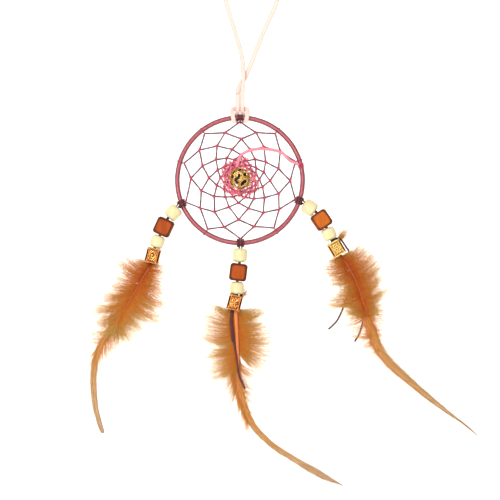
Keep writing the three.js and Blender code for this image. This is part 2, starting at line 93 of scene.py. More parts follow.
def center_mm(node):
    low, high = box_mm(node)
    return (low + high) / 2


def depth_mm(node):
    """A node's size from front to back, which is a bead's width."""
    low, high = box_mm(node)
    return high[1] - low[1]


def joint(name):
    """A joint's place in millimetres and its axis."""
    found = next(j for j in frame["joints"] if j["name"] == name)
    return np.array(found["pos_m"]) / MM, np.array(found["axis"], float)


CENTER = center_mm("hoop_ring")
WRAP_LOW, WRAP_HIGH = box_mm("hoop_wrap")
HOOP_RADIUS = (WRAP_HIGH[2] - WRAP_LOW[2]) / 2
WRAP_RADIUS = 1.75
RING_RADIUS = HOOP_RADIUS - WRAP_RADIUS
BEAD_CENTER = center_mm("center_bead")
BEAD_RADIUS = 7.4

HAIR_SIDES = 3
THREAD_RADIUS = 0.6
CORD_RADIUS = 0.55
TAIL_RADIUS = 0.72
CORD_SPACING = 0.5
CORD_CLEARANCE = 0.2
CORD_HITCH_RADIUS = WRAP_RADIUS + CORD_CLEARANCE + CORD_RADIUS
LACE_WIDTH = 3.0
LACE_THICKNESS = 1.3
LACE_HITCH_RADIUS = WRAP_RADIUS + LACE_THICKNESS
LACE_BACK = 0.8
LACE_CROSSING = 0.95
KNOT_AT = (-13.2, 144)

# Half lengths of the beads along their cord, and the metal bead's width, square bore and corner.
UPPER_HALF = 4.7
CUBE_HALF = 6.0
LOWER_HALF = 4.3
METAL_HALF = 5.2
METAL_WIDTH = 9.4
METAL_BORE = 6.2
METAL_CORNER = 1.2

# The web: degrees of its ties on the hoop, and its rows' distances from the middle.
TIE_ANGLES = [90, 127, 163, 202, 236.5, 270.5, 305.5, 341, 378.5, 413]
STEM_LENGTH = 2.8
ROW_RADII = [34.4, 27.8, 21.4, 16.6, 13.4, 11.4, 9.9, 8.9]
ROW_LAG = 2.5


# ---- points and paths ----

def unit(vectors):
    vectors = np.asarray(vectors, float)
    return vectors / np.maximum(np.linalg.norm(vectors, axis=-1, keepdims=True), 1e-12)


def polar(radius, degrees):
    """A point in the hoop's plane, by distance and angle from the hoop's centre."""
    turn = math.radians(degrees)
    return CENTER + radius * np.array([math.cos(turn), 0.0, math.sin(turn)])


def on_hoop(degrees, points):
    """Turns [u, v, w], along the hoop, out from it and to the front, into places at an angle on it."""
    out = unit(polar(1, degrees) - CENTER)
    basis = np.array([np.cross(out, FRONT), out, FRONT])
    return polar(RING_RADIUS, degrees) + np.asarray(points, float) @ basis


def turn_on_hoop(degrees, directions):
    return on_hoop(degrees, directions) - polar(RING_RADIUS, degrees)


def round_tube(radius, degrees, u):
    """A point at an angle round the hoop's tube, from the outer side over the back."""
    turn = math.radians(degrees)
    return [u, radius * math.cos(turn), -radius * math.sin(turn)]


def smooth(keys, per_span=8):
    """A Catmull-Rom curve through the keys."""
    keys = np.asarray(keys, float)
    ends = np.vstack([2 * keys[0] - keys[1], keys, 2 * keys[-1] - keys[-2]])
    t = np.linspace(0, 1, per_span, endpoint=False)[:, None]
    spans = []
    for a, b, c, d in zip(ends[:-3], ends[1:-2], ends[2:-1], ends[3:]):
        cubic = (-a + 3 * b - 3 * c + d) * t**3
        square = (2 * a - 5 * b + 4 * c - d) * t**2
        spans.append((2 * b + (c - a) * t + square + cubic) / 2)
    return np.vstack(spans + [keys[-1:]])


def distances(path):
    """The distance along a path to each of its points."""
    return np.concatenate([[0], np.cumsum(np.linalg.norm(np.diff(path, axis=0), axis=1))])


def at(path, share):
    """Points along a path at shares of its length, with any extra columns carried along."""
    distance = distances(path[:, :3])
    wanted = np.clip(share, 0, 1) * distance[-1]
    columns = [np.interp(wanted, distance, column) for column in path.T]
    return np.stack(columns, axis=-1)


def tangents_of(paths):
    return unit(np.gradient(paths, axis=-2))


def frames_of(paths):
    """Normals and binormals carried along each path without twisting."""
    tangents = tangents_of(paths)
    start = tangents[..., 0, :]
    normal = np.where(np.abs(start[..., 1:2]) < 0.8, [[0.0, 1.0, 0.0]], [[1.0, 0.0, 0.0]])
    normals = np.zeros_like(paths)
    for k in range(paths.shape[-2]):
        tangent = tangents[..., k, :]
        normal = unit(normal - tangent * np.sum(normal * tangent, axis=-1, keepdims=True))
        normals[..., k, :] = normal
    return normals, np.cross(tangents, normals)


# ---- meshes ----

def linked(name, data):
    """A new object in the scene, made from a mesh, light or camera."""
    made = bpy.data.objects.new(name, data)
    bpy.context.scene.collection.objects.link(made)
    return made


class Piece:
    """Collects the points and faces of one object, with a tone and a tint from 0 to 1 at each point."""

    def __init__(self):
        self.points, self.tones, self.tints, self.faces, self.slots = [], [], [], [], []
        self.count = 0

    def add(self, points, faces, tone=0.0, tint=0.5, slot=0):
        points = np.asarray(points, float).reshape(-1, 3)
        self.points.append(points)
        self.tones.append(np.broadcast_to(tone, len(points)))
        self.tints.append(np.broadcast_to(tint, len(points)))
        for group in faces:
            self.faces.extend((np.asarray(group) + self.count).tolist())
            self.slots.extend([slot] * len(group))
        self.count += len(points)

    def sweep(self, path, section, tone=0.0, tint=0.5, slot=0, sides=None):
        """Adds a section carried along a path."""
        points, faces = swept(path, section, sides)
        self.add(points, faces, tone, tint, slot)

    def build(self, name, materials):
        mesh = bpy.data.meshes.new(name)
        points = np.vstack(self.points) * MM
        mesh.from_pydata(points.tolist(), [], self.faces)
        for material in materials:
            mesh.materials.append(material)
        mesh.polygons.foreach_set("material_index", self.slots)
        mesh.polygons.foreach_set("use_smooth", [True] * len(self.faces))
        for label, values in (("tone", self.tones), ("tint", self.tints)):
            layer = mesh.attributes.new(label, "FLOAT", "POINT")
            layer.data.foreach_set("value", np.concatenate(values).astype(np.float32))
        mesh.update()
        return linked(name, mesh)


def grid_faces(rows, columns, wrap_rows=False, wrap_columns=True):
    """Quads over a grid of points stored row by row."""
    r = np.arange(rows if wrap_rows else rows - 1)[:, None]
    c = np.arange(columns if wrap_columns else columns - 1)[None, :]
    r2, c2 = (r + 1) % rows, (c + 1) % columns
    quads = np.stack([r * columns + c, r * columns + c2, r2 * columns + c2, r2 * columns + c], axis=-1)
    return quads.reshape(-1, 4)


def end_caps(rows, columns):
    """One face across the first ring of points and one across the last."""
    first = np.arange(columns)[None]
    return [first[:, ::-1], (rows - 1) * columns + first]


def swept(path, section, sides=None):
    """Points and faces of a section carried along a path. `section` is (M, 2), or one for each point.

    `sides` gives the direction of the section's first axis at each point.
    """
    path = np.asarray(path, float)
    section = np.broadcast_to(section, (len(path),) + np.shape(section)[-2:])
    if sides is None:
        normals, binormals = frames_of(path)
    else:
        tangents = tangents_of(path)
        normals = unit(sides - tangents * np.sum(sides * tangents, axis=1, keepdims=True))
        binormals = np.cross(tangents, normals)
    points = path[:, None] + section[..., :1] * normals[:, None] + section[..., 1:] * binormals[:, None]
    rows, columns = points.shape[:2]
    return points.reshape(-1, 3), [grid_faces(rows, columns)] + end_caps(rows, columns)


def circle(radius, sides, start=0.0):
    turns = start + 2 * np.pi * np.arange(sides) / sides
    return np.stack([radius * np.cos(turns), radius * np.sin(turns)], axis=-1)


def tubes(paths, radii):
    """Points and faces of many thin tapering tubes. paths is (N, K, 3) and radii is (N, K)."""
    count, length = paths.shape[:2]
    sides = HAIR_SIDES
    normals, binormals = frames_of(paths)
    ring = circle(1.0, sides)
    radii = np.broadcast_to(radii, (count, length))[..., None, None]
    offsets = ring[:, :1] * normals[..., None, :] + ring[:, 1:] * binormals[..., None, :]
    points = paths[..., None, :] + radii * offsets
    starts = (np.arange(count) * length * sides)[:, None, None]
    quads = (grid_faces(length, sides)[None] + starts).reshape(-1, 4)
    near = (np.arange(sides)[::-1][None, None] + starts).reshape(-1, sides)
    far = (np.arange(sides)[None, None] + starts + (length - 1) * sides).reshape(-1, sides)
    return points.reshape(-1, 3), [quads, near, far]


def per_point(values, length, sides):
    """Repeats (N,) or (N, K) values for each point that tubes() makes."""
    values = np.asarray(values, float)
    if values.ndim == 1:
        values = np.repeat(values[:, None], length, axis=1)
    return np.repeat(values.reshape(-1), sides)


def twisted_section(radius, length, strands, depth, pitch, sides=12):
    """Sections of a twisted cord at each of the given distances along it."""
    turns = 2 * np.pi * np.arange(sides)[None] / sides
    groove = np.cos(strands * (turns - 2 * np.pi * np.asarray(length)[:, None] / pitch))
    r = radius * (1 - depth * (1 - groove) / 2)
    return np.stack([r * np.cos(turns), r * np.sin(turns)], axis=-1)


def add_cord(piece, path, radius=CORD_RADIUS, pitch=2.4, tint=0.5):
    """A waxed cord of three twisted plies with a rounded end at each tip."""
    path = at(path, np.linspace(0, 1, max(4, int(distances(path)[-1] / 0.3))))
    section = twisted_section(radius, distances(path), 3, 0.16, pitch)
    section[[0, -1]] *= 0.55
    piece.sweep(path, section, tone=0.85, tint=tint)


def rounded_rectangle(width, height, corner, per_corner=4):
    quarter = np.linspace(0, np.pi / 2, per_corner)
    corners = [(1, 1), (-1, 1), (-1, -1), (1, -1)]
    points = []
    for turn, (x, y) in enumerate(corners):
        angles = quarter + turn * np.pi / 2
        middle = np.array([x * (width / 2 - corner), y * (height / 2 - corner)])
        points.append(middle + corner * np.stack([np.cos(angles), np.sin(angles)], axis=-1))
    return np.vstack(points)


# ---- materials ----

def color(red, green, blue):
    """A linear colour from 0-255 screen values."""
    screen = np.array([red, green, blue]) / 255
    linear = np.where(screen <= 0.04045, screen / 12.92, ((screen + 0.055) / 1.055) ** 2.4)
    return (*linear.tolist(), 1.0)


class Look:
    """A node material built up from a Principled shader."""

    def __init__(self, name, roughness=0.5, metallic=0.0):
        self.material = bpy.data.materials.new(name)
        self.material.use_nodes = True
        self.nodes = self.material.node_tree.nodes
        self.links = self.material.node_tree.links
        self.shader = self.nodes["Principled BSDF"]
        self.output = self.nodes["Material Output"]
        self.set("Roughness", roughness)
        self.set("Metallic", metallic)

    def set(self, socket, value):
        self.shader.inputs[socket].default_value = value

    def node(self, kind, **inputs):
        made = self.nodes.new(kind)
        for socket, value in inputs.items():
            self.plug(value, made.inputs[socket.replace("_", " ")])
        return made

    def plug(self, value, socket):
        if hasattr(value, "is_output"):
            self.links.new(value, socket)
        else:
            socket.default_value = value

    def attribute(self, name):
        made = self.nodes.new("ShaderNodeAttribute")
        made.attribute_name = name
        return made.outputs["Fac"]

    def place(self):
        return self.nodes.new("ShaderNodeTexCoord").outputs["Object"]

    def noise(self, scale, detail=3.0, roughness=0.55, stretch=None):
        """Noise in the frame, `scale` waves to the metre, stretched along some axes if asked."""
        place = self.place()
        if stretch:
            made = self.node("ShaderNodeMapping", Vector=place)
            made.inputs["Scale"].default_value = stretch
            place = made.outputs["Vector"]
        kind = "ShaderNodeTexNoise"
        return self.node(kind, Vector=place, Scale=scale, Detail=detail, Roughness=roughness).outputs["Fac"]

    def math(self, operation, first, second=0.0):
        made = self.nodes.new("ShaderNodeMath")
        made.operation = operation
        self.plug(first, made.inputs[0])
        self.plug(second, made.inputs[1])
        return made.outputs[0]

    def ramp(self, fac, stops):
        made = self.nodes.new("ShaderNodeValToRGB")
        ramp = made.color_ramp
        while len(ramp.elements) < len(stops):
            ramp.elements.new(0.5)
        for element, (place, shade) in zip(ramp.elements, stops):
            element.position = place
            element.color = shade
        self.links.new(fac, made.inputs["Fac"])
        return made.outputs["Color"]

    def mottled(self, scale, low, high, detail=3.0, roughness=0.55):
        """Two colours mixed by noise."""
        return self.ramp(self.noise(scale, detail, roughness), [(0.3, color(*low)), (0.7, color(*high))])

    def mix(self, fac, first, second, blend="MIX"):
        made = self.nodes.new("ShaderNodeMix")
        made.data_type = "RGBA"
        made.blend_type = blend
        self.plug(fac, made.inputs["Factor"])
        self.plug(first, made.inputs["A"])
        self.plug(second, made.inputs["B"])
        return made.outputs["Result"]

    def facing(self, blend=0.5):
        made = self.node("ShaderNodeLayerWeight", Blend=blend)
        return made.outputs["Facing"]

    def base(self, shade):
        self.plug(shade, self.shader.inputs["Base Color"])
        return self

    def bump(self, height, distance, strength=1.0):
        made = self.node("ShaderNodeBump", Height=height, Distance=distance, Strength=strength)
        self.links.new(made.outputs["Normal"], self.shader.inputs["Normal"])
        return self

    def blend_shader(self, share, other):
        """Mixes a share of another shader into the surface."""
        blend = self.node("ShaderNodeMixShader", Fac=share)
        self.links.new(self.shader.outputs[0], blend.inputs[1])
        self.links.new(other.outputs[0], blend.inputs[2])
        self.links.new(blend.outputs[0], self.output.inputs["Surface"])
        return self

    def lit_through(self, shade, share):
        """Lets part of the light through, as thin barbs and down do."""
        return self.blend_shader(share, self.node("ShaderNodeBsdfTranslucent", Color=shade))


def steel():
    look = Look("ring_steel", 0.35, 1.0)
    return look.base(look.mottled(900, (150, 150, 155), (190, 190, 195))).material


def rose_thread():
    """Glossy wound embroidery thread, with painted shade in the grooves between its turns and where it turns
    away from the view.
    """
    look = Look("rose_thread", 0.32)
    shade = look.mottled(700, (212, 70, 98), (240, 112, 132), 4)
    # Painted shade: tone is low in the grooves between turns, and there a dark rose is mixed in.
    groove_shaded = look.mix(look.attribute("tone"), color(120, 24, 44), shade)
    # Painted shade: darker towards the tube's sides, by how far it turns from the view.
    edge = look.ramp(look.facing(0.5), [
        (0.02, color(255, 250, 250)), (0.08, color(228, 178, 190)),
        (0.22, color(146, 62, 80)), (0.6, color(90, 24, 40))])
    look.base(look.mix(1.0, groove_shaded, edge, "MULTIPLY"))
    look.set("Coat Weight", 0.7)
    look.set("Coat Roughness", 0.18)
    look.set("Sheen Weight", 0.2)
    return look.bump(look.noise(6000, 2), 0.00004, 0.4).material


def web_thread():
    """Thin twisted thread, greyer between the knots and pinker at them."""
    look = Look("web_thread", 0.6)
    shade = look.ramp(look.attribute("tone"), [
        (0.0, color(98, 66, 84)), (0.45, color(122, 50, 78)),
        (0.8, color(196, 50, 90)), (1.0, color(255, 140, 158))])
    tinted = look.mix(look.attribute("tint"), color(214, 196, 202), color(255, 246, 248))
    look.base(look.mix(1.0, shade, tinted, "MULTIPLY"))
    look.set("Sheen Weight", 0.3)
    return look.bump(look.noise(9000, 2), 0.00004, 0.5).material


def waxed_cord():
    look = Look("waxed_cord", 0.38)
    shade = look.mottled(1500, (58, 10, 18), (108, 28, 36), 4)
    look.base(look.mix(look.attribute("tone"), color(30, 5, 9), shade))
    look.set("Coat Weight", 0.25)
    return look.bump(look.noise(7000, 2), 0.00004, 0.5).material


def suede():
    """Pale peach suede with a soft mottled nap, and darker cut edges."""
    look = Look("suede", 0.92)
    nap = look.mottled(2600, (234, 192, 178), (250, 218, 206), 6, 0.7)
    edge = look.mottled(3500, (160, 110, 96), (192, 144, 128))
    look.base(look.mix(look.attribute("tone"), nap, edge))
    look.set("Sheen Weight", 0.6)
    look.set("Sheen Roughness", 0.6)
    return look.bump(look.noise(5200, 5, 0.8), 0.00012, 0.7).material


def wood(name, pale, middle, dark, roughness, coat):
    """Turned wood with its grain along Z. `tone` mixes in the dark colour as painted shade on the edges and
    in the bores.
    """
    look = Look(name, roughness)
    grain = look.noise(260, 5, 0.6, stretch=(1.0, 1.0, 0.16))
    fibre = look.noise(2400, 3, 0.7, stretch=(1.0, 1.0, 0.1))
    shade = look.ramp(grain, [(0.3, middle), (0.55, pale), (0.75, middle)])
    shade = look.mix(look.math("MULTIPLY", fibre, 0.35), shade, dark)
    look.base(look.mix(look.attribute("tone"), shade, dark))
    look.set("Coat Weight", coat)
    look.set("Coat Roughness", 0.2)
    look.set("Specular IOR Level", 0.2)
    return look.bump(fibre, 0.00006, 0.35).material


def embossed_metal(name, high, middle, hollow):
    """Plated metal, bright on its raised lines and dark in its hollows. Its tone is also low at a bead's
    corners and in its bore, as painted shade.
    """
    look = Look(name, 0.24, 0.8)
    relief_wear_and_shade = look.math("ADD", look.attribute("tone"), look.math("MULTIPLY", look.noise(1400, 4), 0.25))
    look.base(look.ramp(relief_wear_and_shade, [(0.2, hollow), (0.5, middle), (0.88, high)]))
    dull = look.math("SUBTRACT", 0.55, look.math("MULTIPLY", look.attribute("tone"), 0.32))
    look.plug(dull, look.shader.inputs["Roughness"])
    return look.bump(look.noise(5000, 3), 0.00003, 0.4).material


def feather_look(name, dull, stops, share):
    """Barbs: `tone` picks a colour along `stops`, and `tint` varies from barb to barb."""
    look = Look(name, 0.62)
    shade = look.ramp(look.attribute("tone"), stops)
    varied = look.mix(look.attribute("tint"), dull, color(255, 250, 236))
    full = look.mix(1.0, shade, varied, "MULTIPLY")
    streaked = look.mix(look.math("MULTIPLY", look.noise(900, 3), 0.08), full, color(196, 104, 44))
    look.base(streaked)
    look.set("Sheen Weight", 0.25)
    look.set("Sheen Tint", color(255, 220, 170))
    return look.lit_through(streaked, share).material


def quill_look():
    look = Look("quill", 0.4)
    shade = look.ramp(look.attribute("tone"), [
        (0.0, color(226, 128, 66)), (0.5, color(214, 126, 70)), (1.0, color(150, 112, 92))])
    look.base(look.mix(look.math("MULTIPLY", look.noise(1200, 3), 0.4), shade, color(160, 76, 40)))
    look.set("Subsurface Weight", 0.1)
    look.set("Subsurface Scale", 0.001)
    return look.bump(look.noise(2500, 2), 0.00003, 0.3).material


def painted_inner_shade_look():
    """The inside of a cast bead, painted near black as shade."""
    look = Look("hollow", 0.8, 0.3)
    return look.base(look.mottled(1600, (22, 8, 4), (50, 22, 10), 4)).material


LOOKS = {
    "hollow": painted_inner_shade_look(),
    "steel": steel(),
    "rose": rose_thread(),
    "web": web_thread(),
    "cord": waxed_cord(),
    "suede": suede(),
    "cream": wood("cream_wood", color(234, 226, 182), color(228, 212, 160), color(196, 156, 98), 0.5, 0.1),
    "brown": wood("brown_wood", color(180, 80, 14), color(158, 64, 8), color(84, 34, 12), 0.5, 0.04),
    "orange": wood("orange_wood", color(208, 110, 24), color(188, 90, 16), color(96, 42, 14), 0.5, 0.04),
    "gilt": embossed_metal("gilt", color(255, 222, 136), color(214, 148, 62), color(48, 18, 6)),
    "copper": embossed_metal("copper", color(255, 188, 100), color(188, 82, 38), color(50, 14, 8)),
    "down": feather_look("down", color(240, 212, 164), [
        (0.0, color(202, 84, 14)), (0.16, color(244, 130, 34)), (0.4, color(255, 182, 70)),
        (0.7, color(255, 220, 124)), (1.0, color(255, 242, 176))], 0.5),
    "vane": feather_look("vane", color(222, 184, 142), [
        (0.0, color(248, 142, 60)), (0.3, color(255, 200, 122)), (0.65, color(255, 226, 168)),
        (0.88, color(255, 234, 202)), (1.0, color(250, 226, 206))], 0.3),
    "quill": quill_look(),
}


# ---- hoop and web ----

def make_hoop_wrap():
    """The winding: one thread laid round the ring, turn against turn."""
    turns, samples, sides = 600, 5, 18
    a = 2 * np.pi * np.arange(turns * samples)[:, None] / (turns * samples)
    b = 2 * np.pi * np.arange(sides)[None] / sides
    lumps = 0.02 * np.sin(23 * a + b) + 0.018 * np.sin(61 * a + 2)
    ridge = np.cos(turns * a + b)
    sunk, ridge_height = 0.05, 0.045
    r = WRAP_RADIUS - sunk + ridge_height * ridge + lumps
    out = RING_RADIUS + r * np.cos(b)
    points = np.stack([out * np.cos(a), r * np.sin(b) + 0 * a, out * np.sin(a)], axis=-1) + CENTER
    piece = Piece()
    # tone is low in the grooves between turns, where the rose look paints shade.
    piece.add(points, [grid_faces(*points.shape[:2], wrap_rows=True)], tone=(0.5 + 0.5 * ridge).reshape(-1))
    return piece.build("hoop_winding", [LOOKS["rose"]])


def uneven(seed):
    """A small irregularity between -1 and 1, the same every time."""
    return (math.sin(seed * 12.9898) + math.sin(seed * 4.1414)) / 2


def knot(row, i):
    """Where row `row` is looped onto span `i` of the row outside it. Row 0 is the ties on the hoop."""
    span = i % len(TIE_ANGLES)
    if row == 0:
        return polar(RING_RADIUS - STEM_LENGTH, TIE_ANGLES[span])
    slack = 1 - row / len(ROW_RADII)
    lag = ROW_LAG * math.sin(math.pi * slack)
    step = 360 / len(TIE_ANGLES)
    radius = ROW_RADII[row - 1] + 1.1 * slack * uneven(7 * row + span)
    angle = 90 + step * i + step / 2 * row - lag + 2 * slack * uneven(3 * row + 5 * span)
    rise = (BEAD_CENTER[2] - CENTER[2]) * min(1, row / 4)
    return polar(radius, angle) + [0, 0, rise]


def add_web_run(piece, row, i):
    """The thread from one knot to the next, dipping to the next row's knot between them."""
    ends = [knot(row, i), knot(row + 1, i), knot(row, i + 1)]
    for near, far in zip(ends, ends[1:]):
        t = np.linspace(0, 1, 9)[:, None]
        sag = 0.012 * np.linalg.norm(far - near) * np.sin(np.pi * t)
        path = near + (far - near) * t + sag * unit(CENTER - (near + far) / 2)
        path[:, 1] += 0.12 * np.sin(np.pi * t[:, 0]) * uneven(row + 11 * i)
        at_knots = np.abs(2 * t[:, 0] - 1) ** 3
        swell = (1 + 0.3 * at_knots)[:, None, None]
        section = twisted_section(THREAD_RADIUS, distances(path), 2, 0.2, 0.9, 8) * swell
        tone = np.repeat(0.15 + 0.75 * at_knots, 8)
        piece.sweep(path, section, tone=tone, tint=0.5 + 0.4 * uneven(5 * row + i))


def add_loop(piece, middle, axis, radius, turns, thread, tone, rise=0.5):
    """Turns of thread about an axis, side by side."""
    axis = unit(axis)
    side = unit(np.cross(axis, FRONT if abs(axis[1]) < 0.9 else [1.0, 0.0, 0.0]))
    other = np.cross(axis, side)
    phase = np.linspace(0, 2 * np.pi * turns, int(14 * turns))[:, None]
    climb = (phase / (2 * np.pi) - turns / 2) * rise
    path = middle + radius * (np.cos(phase) * side + np.sin(phase) * other) + climb * axis
    piece.sweep(path, circle(thread, 6), tone=tone)


def add_knots(piece):
    """A small overhand turn of thread at each crossing."""
    for row in range(1, len(ROW_RADII)):
        for i in range(len(TIE_ANGLES)):
            middle = knot(row, i)
            for outer in (knot(row - 1, i), knot(row - 1, i + 1)):
                toward = unit(outer - middle)
                add_loop(piece, middle + toward * 0.75, toward, 0.52, 1.7, 0.34, 0.82, 0.6)


def add_ties(piece):
    """Where the web's thread goes round the hoop, and the stem that it leaves by."""
    for angle in TIE_ANGLES:
        along = turn_on_hoop(angle, [1, 0, 0])
        add_loop(piece, polar(RING_RADIUS, angle), along, WRAP_RADIUS + 0.28, 1.5, 0.26, 0.6, 0.5)
        ends = on_hoop(angle, [[0, -WRAP_RADIUS, 0], [0.1, -3, 0.1], [0, -STEM_LENGTH, 0]])
        piece.sweep(smooth(ends, 5), circle(0.33, 8), tone=0.9)


def add_tangle(piece):
    """The last rows, drawn tight round the bead in a tangle of loops."""
    for _ in range(100):
        start = RNG.uniform(0, 360)
        span = RNG.uniform(20, 75) * RNG.choice([-1, 1])
        radius = 8.0 + 5.4 * RNG.random() ** 1.5
        angles = np.linspace(start, start + span, 7)
        radii = np.clip(radius + RNG.normal(0, 1.2, 7), 7.7, 15.5)
        keys = np.array([polar(r, a) for r, a in zip(radii, angles)])
        keys[:, 1] += RNG.normal(0, 0.8, 7)
        keys[:, 2] += BEAD_CENTER[2] - CENTER[2]
        ring = circle(RNG.uniform(0.2, 0.36), 6)
        piece.sweep(smooth(keys, 5), ring, tone=RNG.uniform(0.84, 1.0), tint=RNG.uniform(0.7, 1.0))


def add_core(piece):
    """Dark turns of the web's thread, wound up inside the pierced bead."""
    for _ in range(46):
        radius = RNG.uniform(2.4, 4.9)
        add_loop(piece, BEAD_CENTER, RNG.normal(0, 1, 3), radius, RNG.uniform(0.6, 1.2), 0.42, 0.0, 0.3)


def add_fuzz(piece, path, count, length, spread, radius, tone):
    """Short stray fibres standing off a thread."""
    roots = at(path, RNG.random(count))
    lean = unit(RNG.normal(0, 1, (count, 3)) * [1.0, 0.5, 1.0])
    t = np.linspace(0, 1, 4)[None, :, None]
    bend = RNG.normal(0, spread, (count, 1, 3))
    reach = RNG.uniform(0.4, 1.0, (count, 1, 1)) * length
    paths = roots[:, None] + (lean[:, None] * t + bend * t**2) * reach
    radii = np.broadcast_to(radius * (1 - 0.8 * t[..., 0]), (count, 4))
    points, faces = tubes(paths, radii)
    piece.add(points, faces, tone=tone, tint=per_point(RNG.uniform(0.5, 1, count), 4, HAIR_SIDES))


def add_loose_thread(piece):
    """The thread's thick fuzzy end, which wanders over the web from the hoop's right side to the bead."""
    keys = [(40.5, 10.7), (34.5, 13.7), (27.8, 19.4), (16.6, 21.6)]
    keys += [(8.3, 20.8), (1.7, 18.1), (-0.7, 14.4), (-2, 9)]
    radius, in_front = 1.1, -1.1
    path = smooth([CENTER + [x, in_front, z] for x, z in keys], 8)
    piece.sweep(path, twisted_section(radius, distances(path), 3, 0.35, 3.0), tone=1.0, tint=1.0)
    add_fuzz(piece, path, 1000, 1.7, 0.5, 0.06, 1.0)


def add_repair(piece):
    """A few extra turns where the loose end is bound to the hoop."""
    for angle in (12.5, 14.0, 15.2):
        along = turn_on_hoop(angle, [1, 0, 0])
        add_loop(piece, polar(RING_RADIUS, angle), along, WRAP_RADIUS + 0.2, 2, 0.24, 0.75, 0.45)


def make_web():
    piece = Piece()
    for row in range(len(ROW_RADII)):
        for i in range(len(TIE_ANGLES)):
            add_web_run(piece, row, i)
    add_knots(piece)
    add_ties(piece)
    add_tangle(piece)
    add_core(piece)
    add_loose_thread(piece)
    add_repair(piece)
    through = np.array([knot(len(ROW_RADII), 6), BEAD_CENTER, knot(len(ROW_RADII), 1)])
    piece.sweep(smooth(through, 6), circle(THREAD_RADIUS, 6), tone=0.8)
    return piece.build("web", [LOOKS["web"]])


def make_top_tie():
    """Dark thread bound round the hoop between the lace's two bands."""
    piece = Piece()
    along = turn_on_hoop(90, [1, 0, 0])
    add_loop(piece, polar(RING_RADIUS, 90), along, WRAP_RADIUS + 0.26, 7, 0.27, 0.9, 0.52)
    tail = on_hoop(90, [[0.2, -1.6, 1.4], [0.3, -2.9, 0.9], [0.1, -4.2, 0.2]])
    piece.sweep(smooth(tail, 6), circle(0.4, 8), tone=0.5)
    return piece.build("top_tie", [LOOKS["cord"]])


# ---- pierced bead ----

WINDOW_COUNT = 32
FILIGREE_SUNK = 0.34
FILIGREE_HEIGHT = 0.56
FILIGREE_WALL = 0.9


def window_distance(directions):
    """Angle from each direction to the nearest window's edge, negative inside a window."""
    generator = np.random.default_rng(5)
    golden = np.pi * (3 - math.sqrt(5))
    nearest = np.full(len(directions), 9.0)
    for i in range(WINDOW_COUNT):
        height = 0.93 - 1.86 * (i + 0.5) / WINDOW_COUNT
        turn = golden * i + generator.normal(0, 0.15)
        ring = math.sqrt(1 - height * height)
        start = np.array([ring * math.cos(turn), ring * math.sin(turn), height])
        lean = unit(np.cross(start, generator.normal(0, 1, 3)))
        half, width = generator.uniform(0.05, 0.26), generator.uniform(0.11, 0.165)
        for share in np.linspace(-1, 1, 9):
            spot = unit(start + lean * half * share + np.cross(start, lean) * 0.5 * half * share**2)
            gap = np.arccos(np.clip(directions @ spot, -1, 1)) - width
            nearest = np.minimum(nearest, gap)
    return nearest


def bead_relief(edge):
    """Height of the scrollwork by distance in millimetres from the nearest window's edge."""
    rim = np.exp(-(((edge - 0.32) / 0.2) ** 2))
    scroll = 0.5 + 0.5 * np.cos(2 * np.pi * (edge - 0.3) / 0.85)
    return np.maximum(rim, 0.75 * scroll * (edge > 0.4))


def filigree_skin():
    """A ball with its relief raised, and open at its windows and where the thread goes through."""
    mesh = bpy.data.meshes.new("filigree")
    grid = bmesh.new()
    bmesh.ops.create_icosphere(grid, subdivisions=6, radius=1.0)
    grid.verts.ensure_lookup_table()
    directions = np.array([v.co for v in grid.verts])
    edge = window_distance(directions) * BEAD_RADIUS
    relief = bead_relief(np.maximum(edge, 0))
    radii = BEAD_RADIUS - FILIGREE_SUNK + FILIGREE_HEIGHT * relief
    poles = np.hypot(directions[:, 0], directions[:, 1]) < 0.15
    open_air = (edge < 0) | poles
    for vertex, radius in zip(grid.verts, radii):
        vertex.co *= radius * MM
    bmesh.ops.delete(grid, geom=[v for v, gone in zip(grid.verts, open_air) if gone], context="VERTS")
    grid.to_mesh(mesh)
    grid.free()
    layer = mesh.attributes.new("tone", "FLOAT", "POINT")
    layer.data.foreach_set("value", relief[~open_air].astype(np.float32))
    mesh.materials.append(LOOKS["gilt"])
    mesh.materials.append(LOOKS["hollow"])
    mesh.polygons.foreach_set("use_smooth", [True] * len(mesh.polygons))
    return mesh


def make_center_bead():
    """A cast filigree ball: windows with raised rims, and scroll lines that follow them."""
    raw = linked("filigree_bead", filigree_skin())
    wall = raw.modifiers.new("wall", "SOLIDIFY")
    wall.thickness = FILIGREE_WALL * MM
    wall.offset = -1
    # The inner shell takes the hollow look, painted shade inside the ball.
    wall.material_offset = 1
    return applied(raw, BEAD_CENTER)


def applied(raw, place):
    """Makes an object's modifiers part of its mesh and puts it in place."""
    evaluated = raw.evaluated_get(bpy.context.evaluated_depsgraph_get())
    mesh = bpy.data.meshes.new_from_object(evaluated)
    raw.modifiers.clear()
    raw.data = mesh
    raw.location = np.asarray(place) * MM
    return raw


# ---- lace ----

def lace_hitch():
    """The lace's path round the hoop and the direction of its width, at the top of the hoop."""
    turns = [(90, 2.05), (135, 2.7), (180, 3.4), (225, 4.2), (270, 4.8), (315, 5.1)]
    half = [[1.6, 14, -LACE_BACK], [1.6, 8, -0.9], [1.62, 5, -1.1], [1.75, 3.4, -1.8], [1.95, 1.8, -2.75]]
    half += [round_tube(LACE_HITCH_RADIUS, degrees, u) for degrees, u in turns]
    half += [[5.25, 3.8, 0.6], [5.05, 5.2, -0.9], [4.2, 6.15, -2.1], [2.5, 6.3, -2.9], [0, 6.3, -3]]
    sides = [[1, 0, 0]] * 12 + [[0.85, 0.5, 0], [0.4, 0.9, 0], [0, 1, 0], [0, 1, 0]]
    half, sides = np.array(half), np.array(sides, float)
    back = half[:-1][::-1] * [-1, 1, 1]
    back_sides = sides[:-1][::-1] * [1, -1, -1]
    return on_hoop(90, np.vstack([half, back])), turn_on_hoop(90, np.vstack([sides, back_sides]))


def in_plane(keys):
    return [CENTER + [x, LACE_BACK, z] for x, z in keys]


def flat_sides(path):
    return unit(np.cross(FRONT, tangents_of(path)))


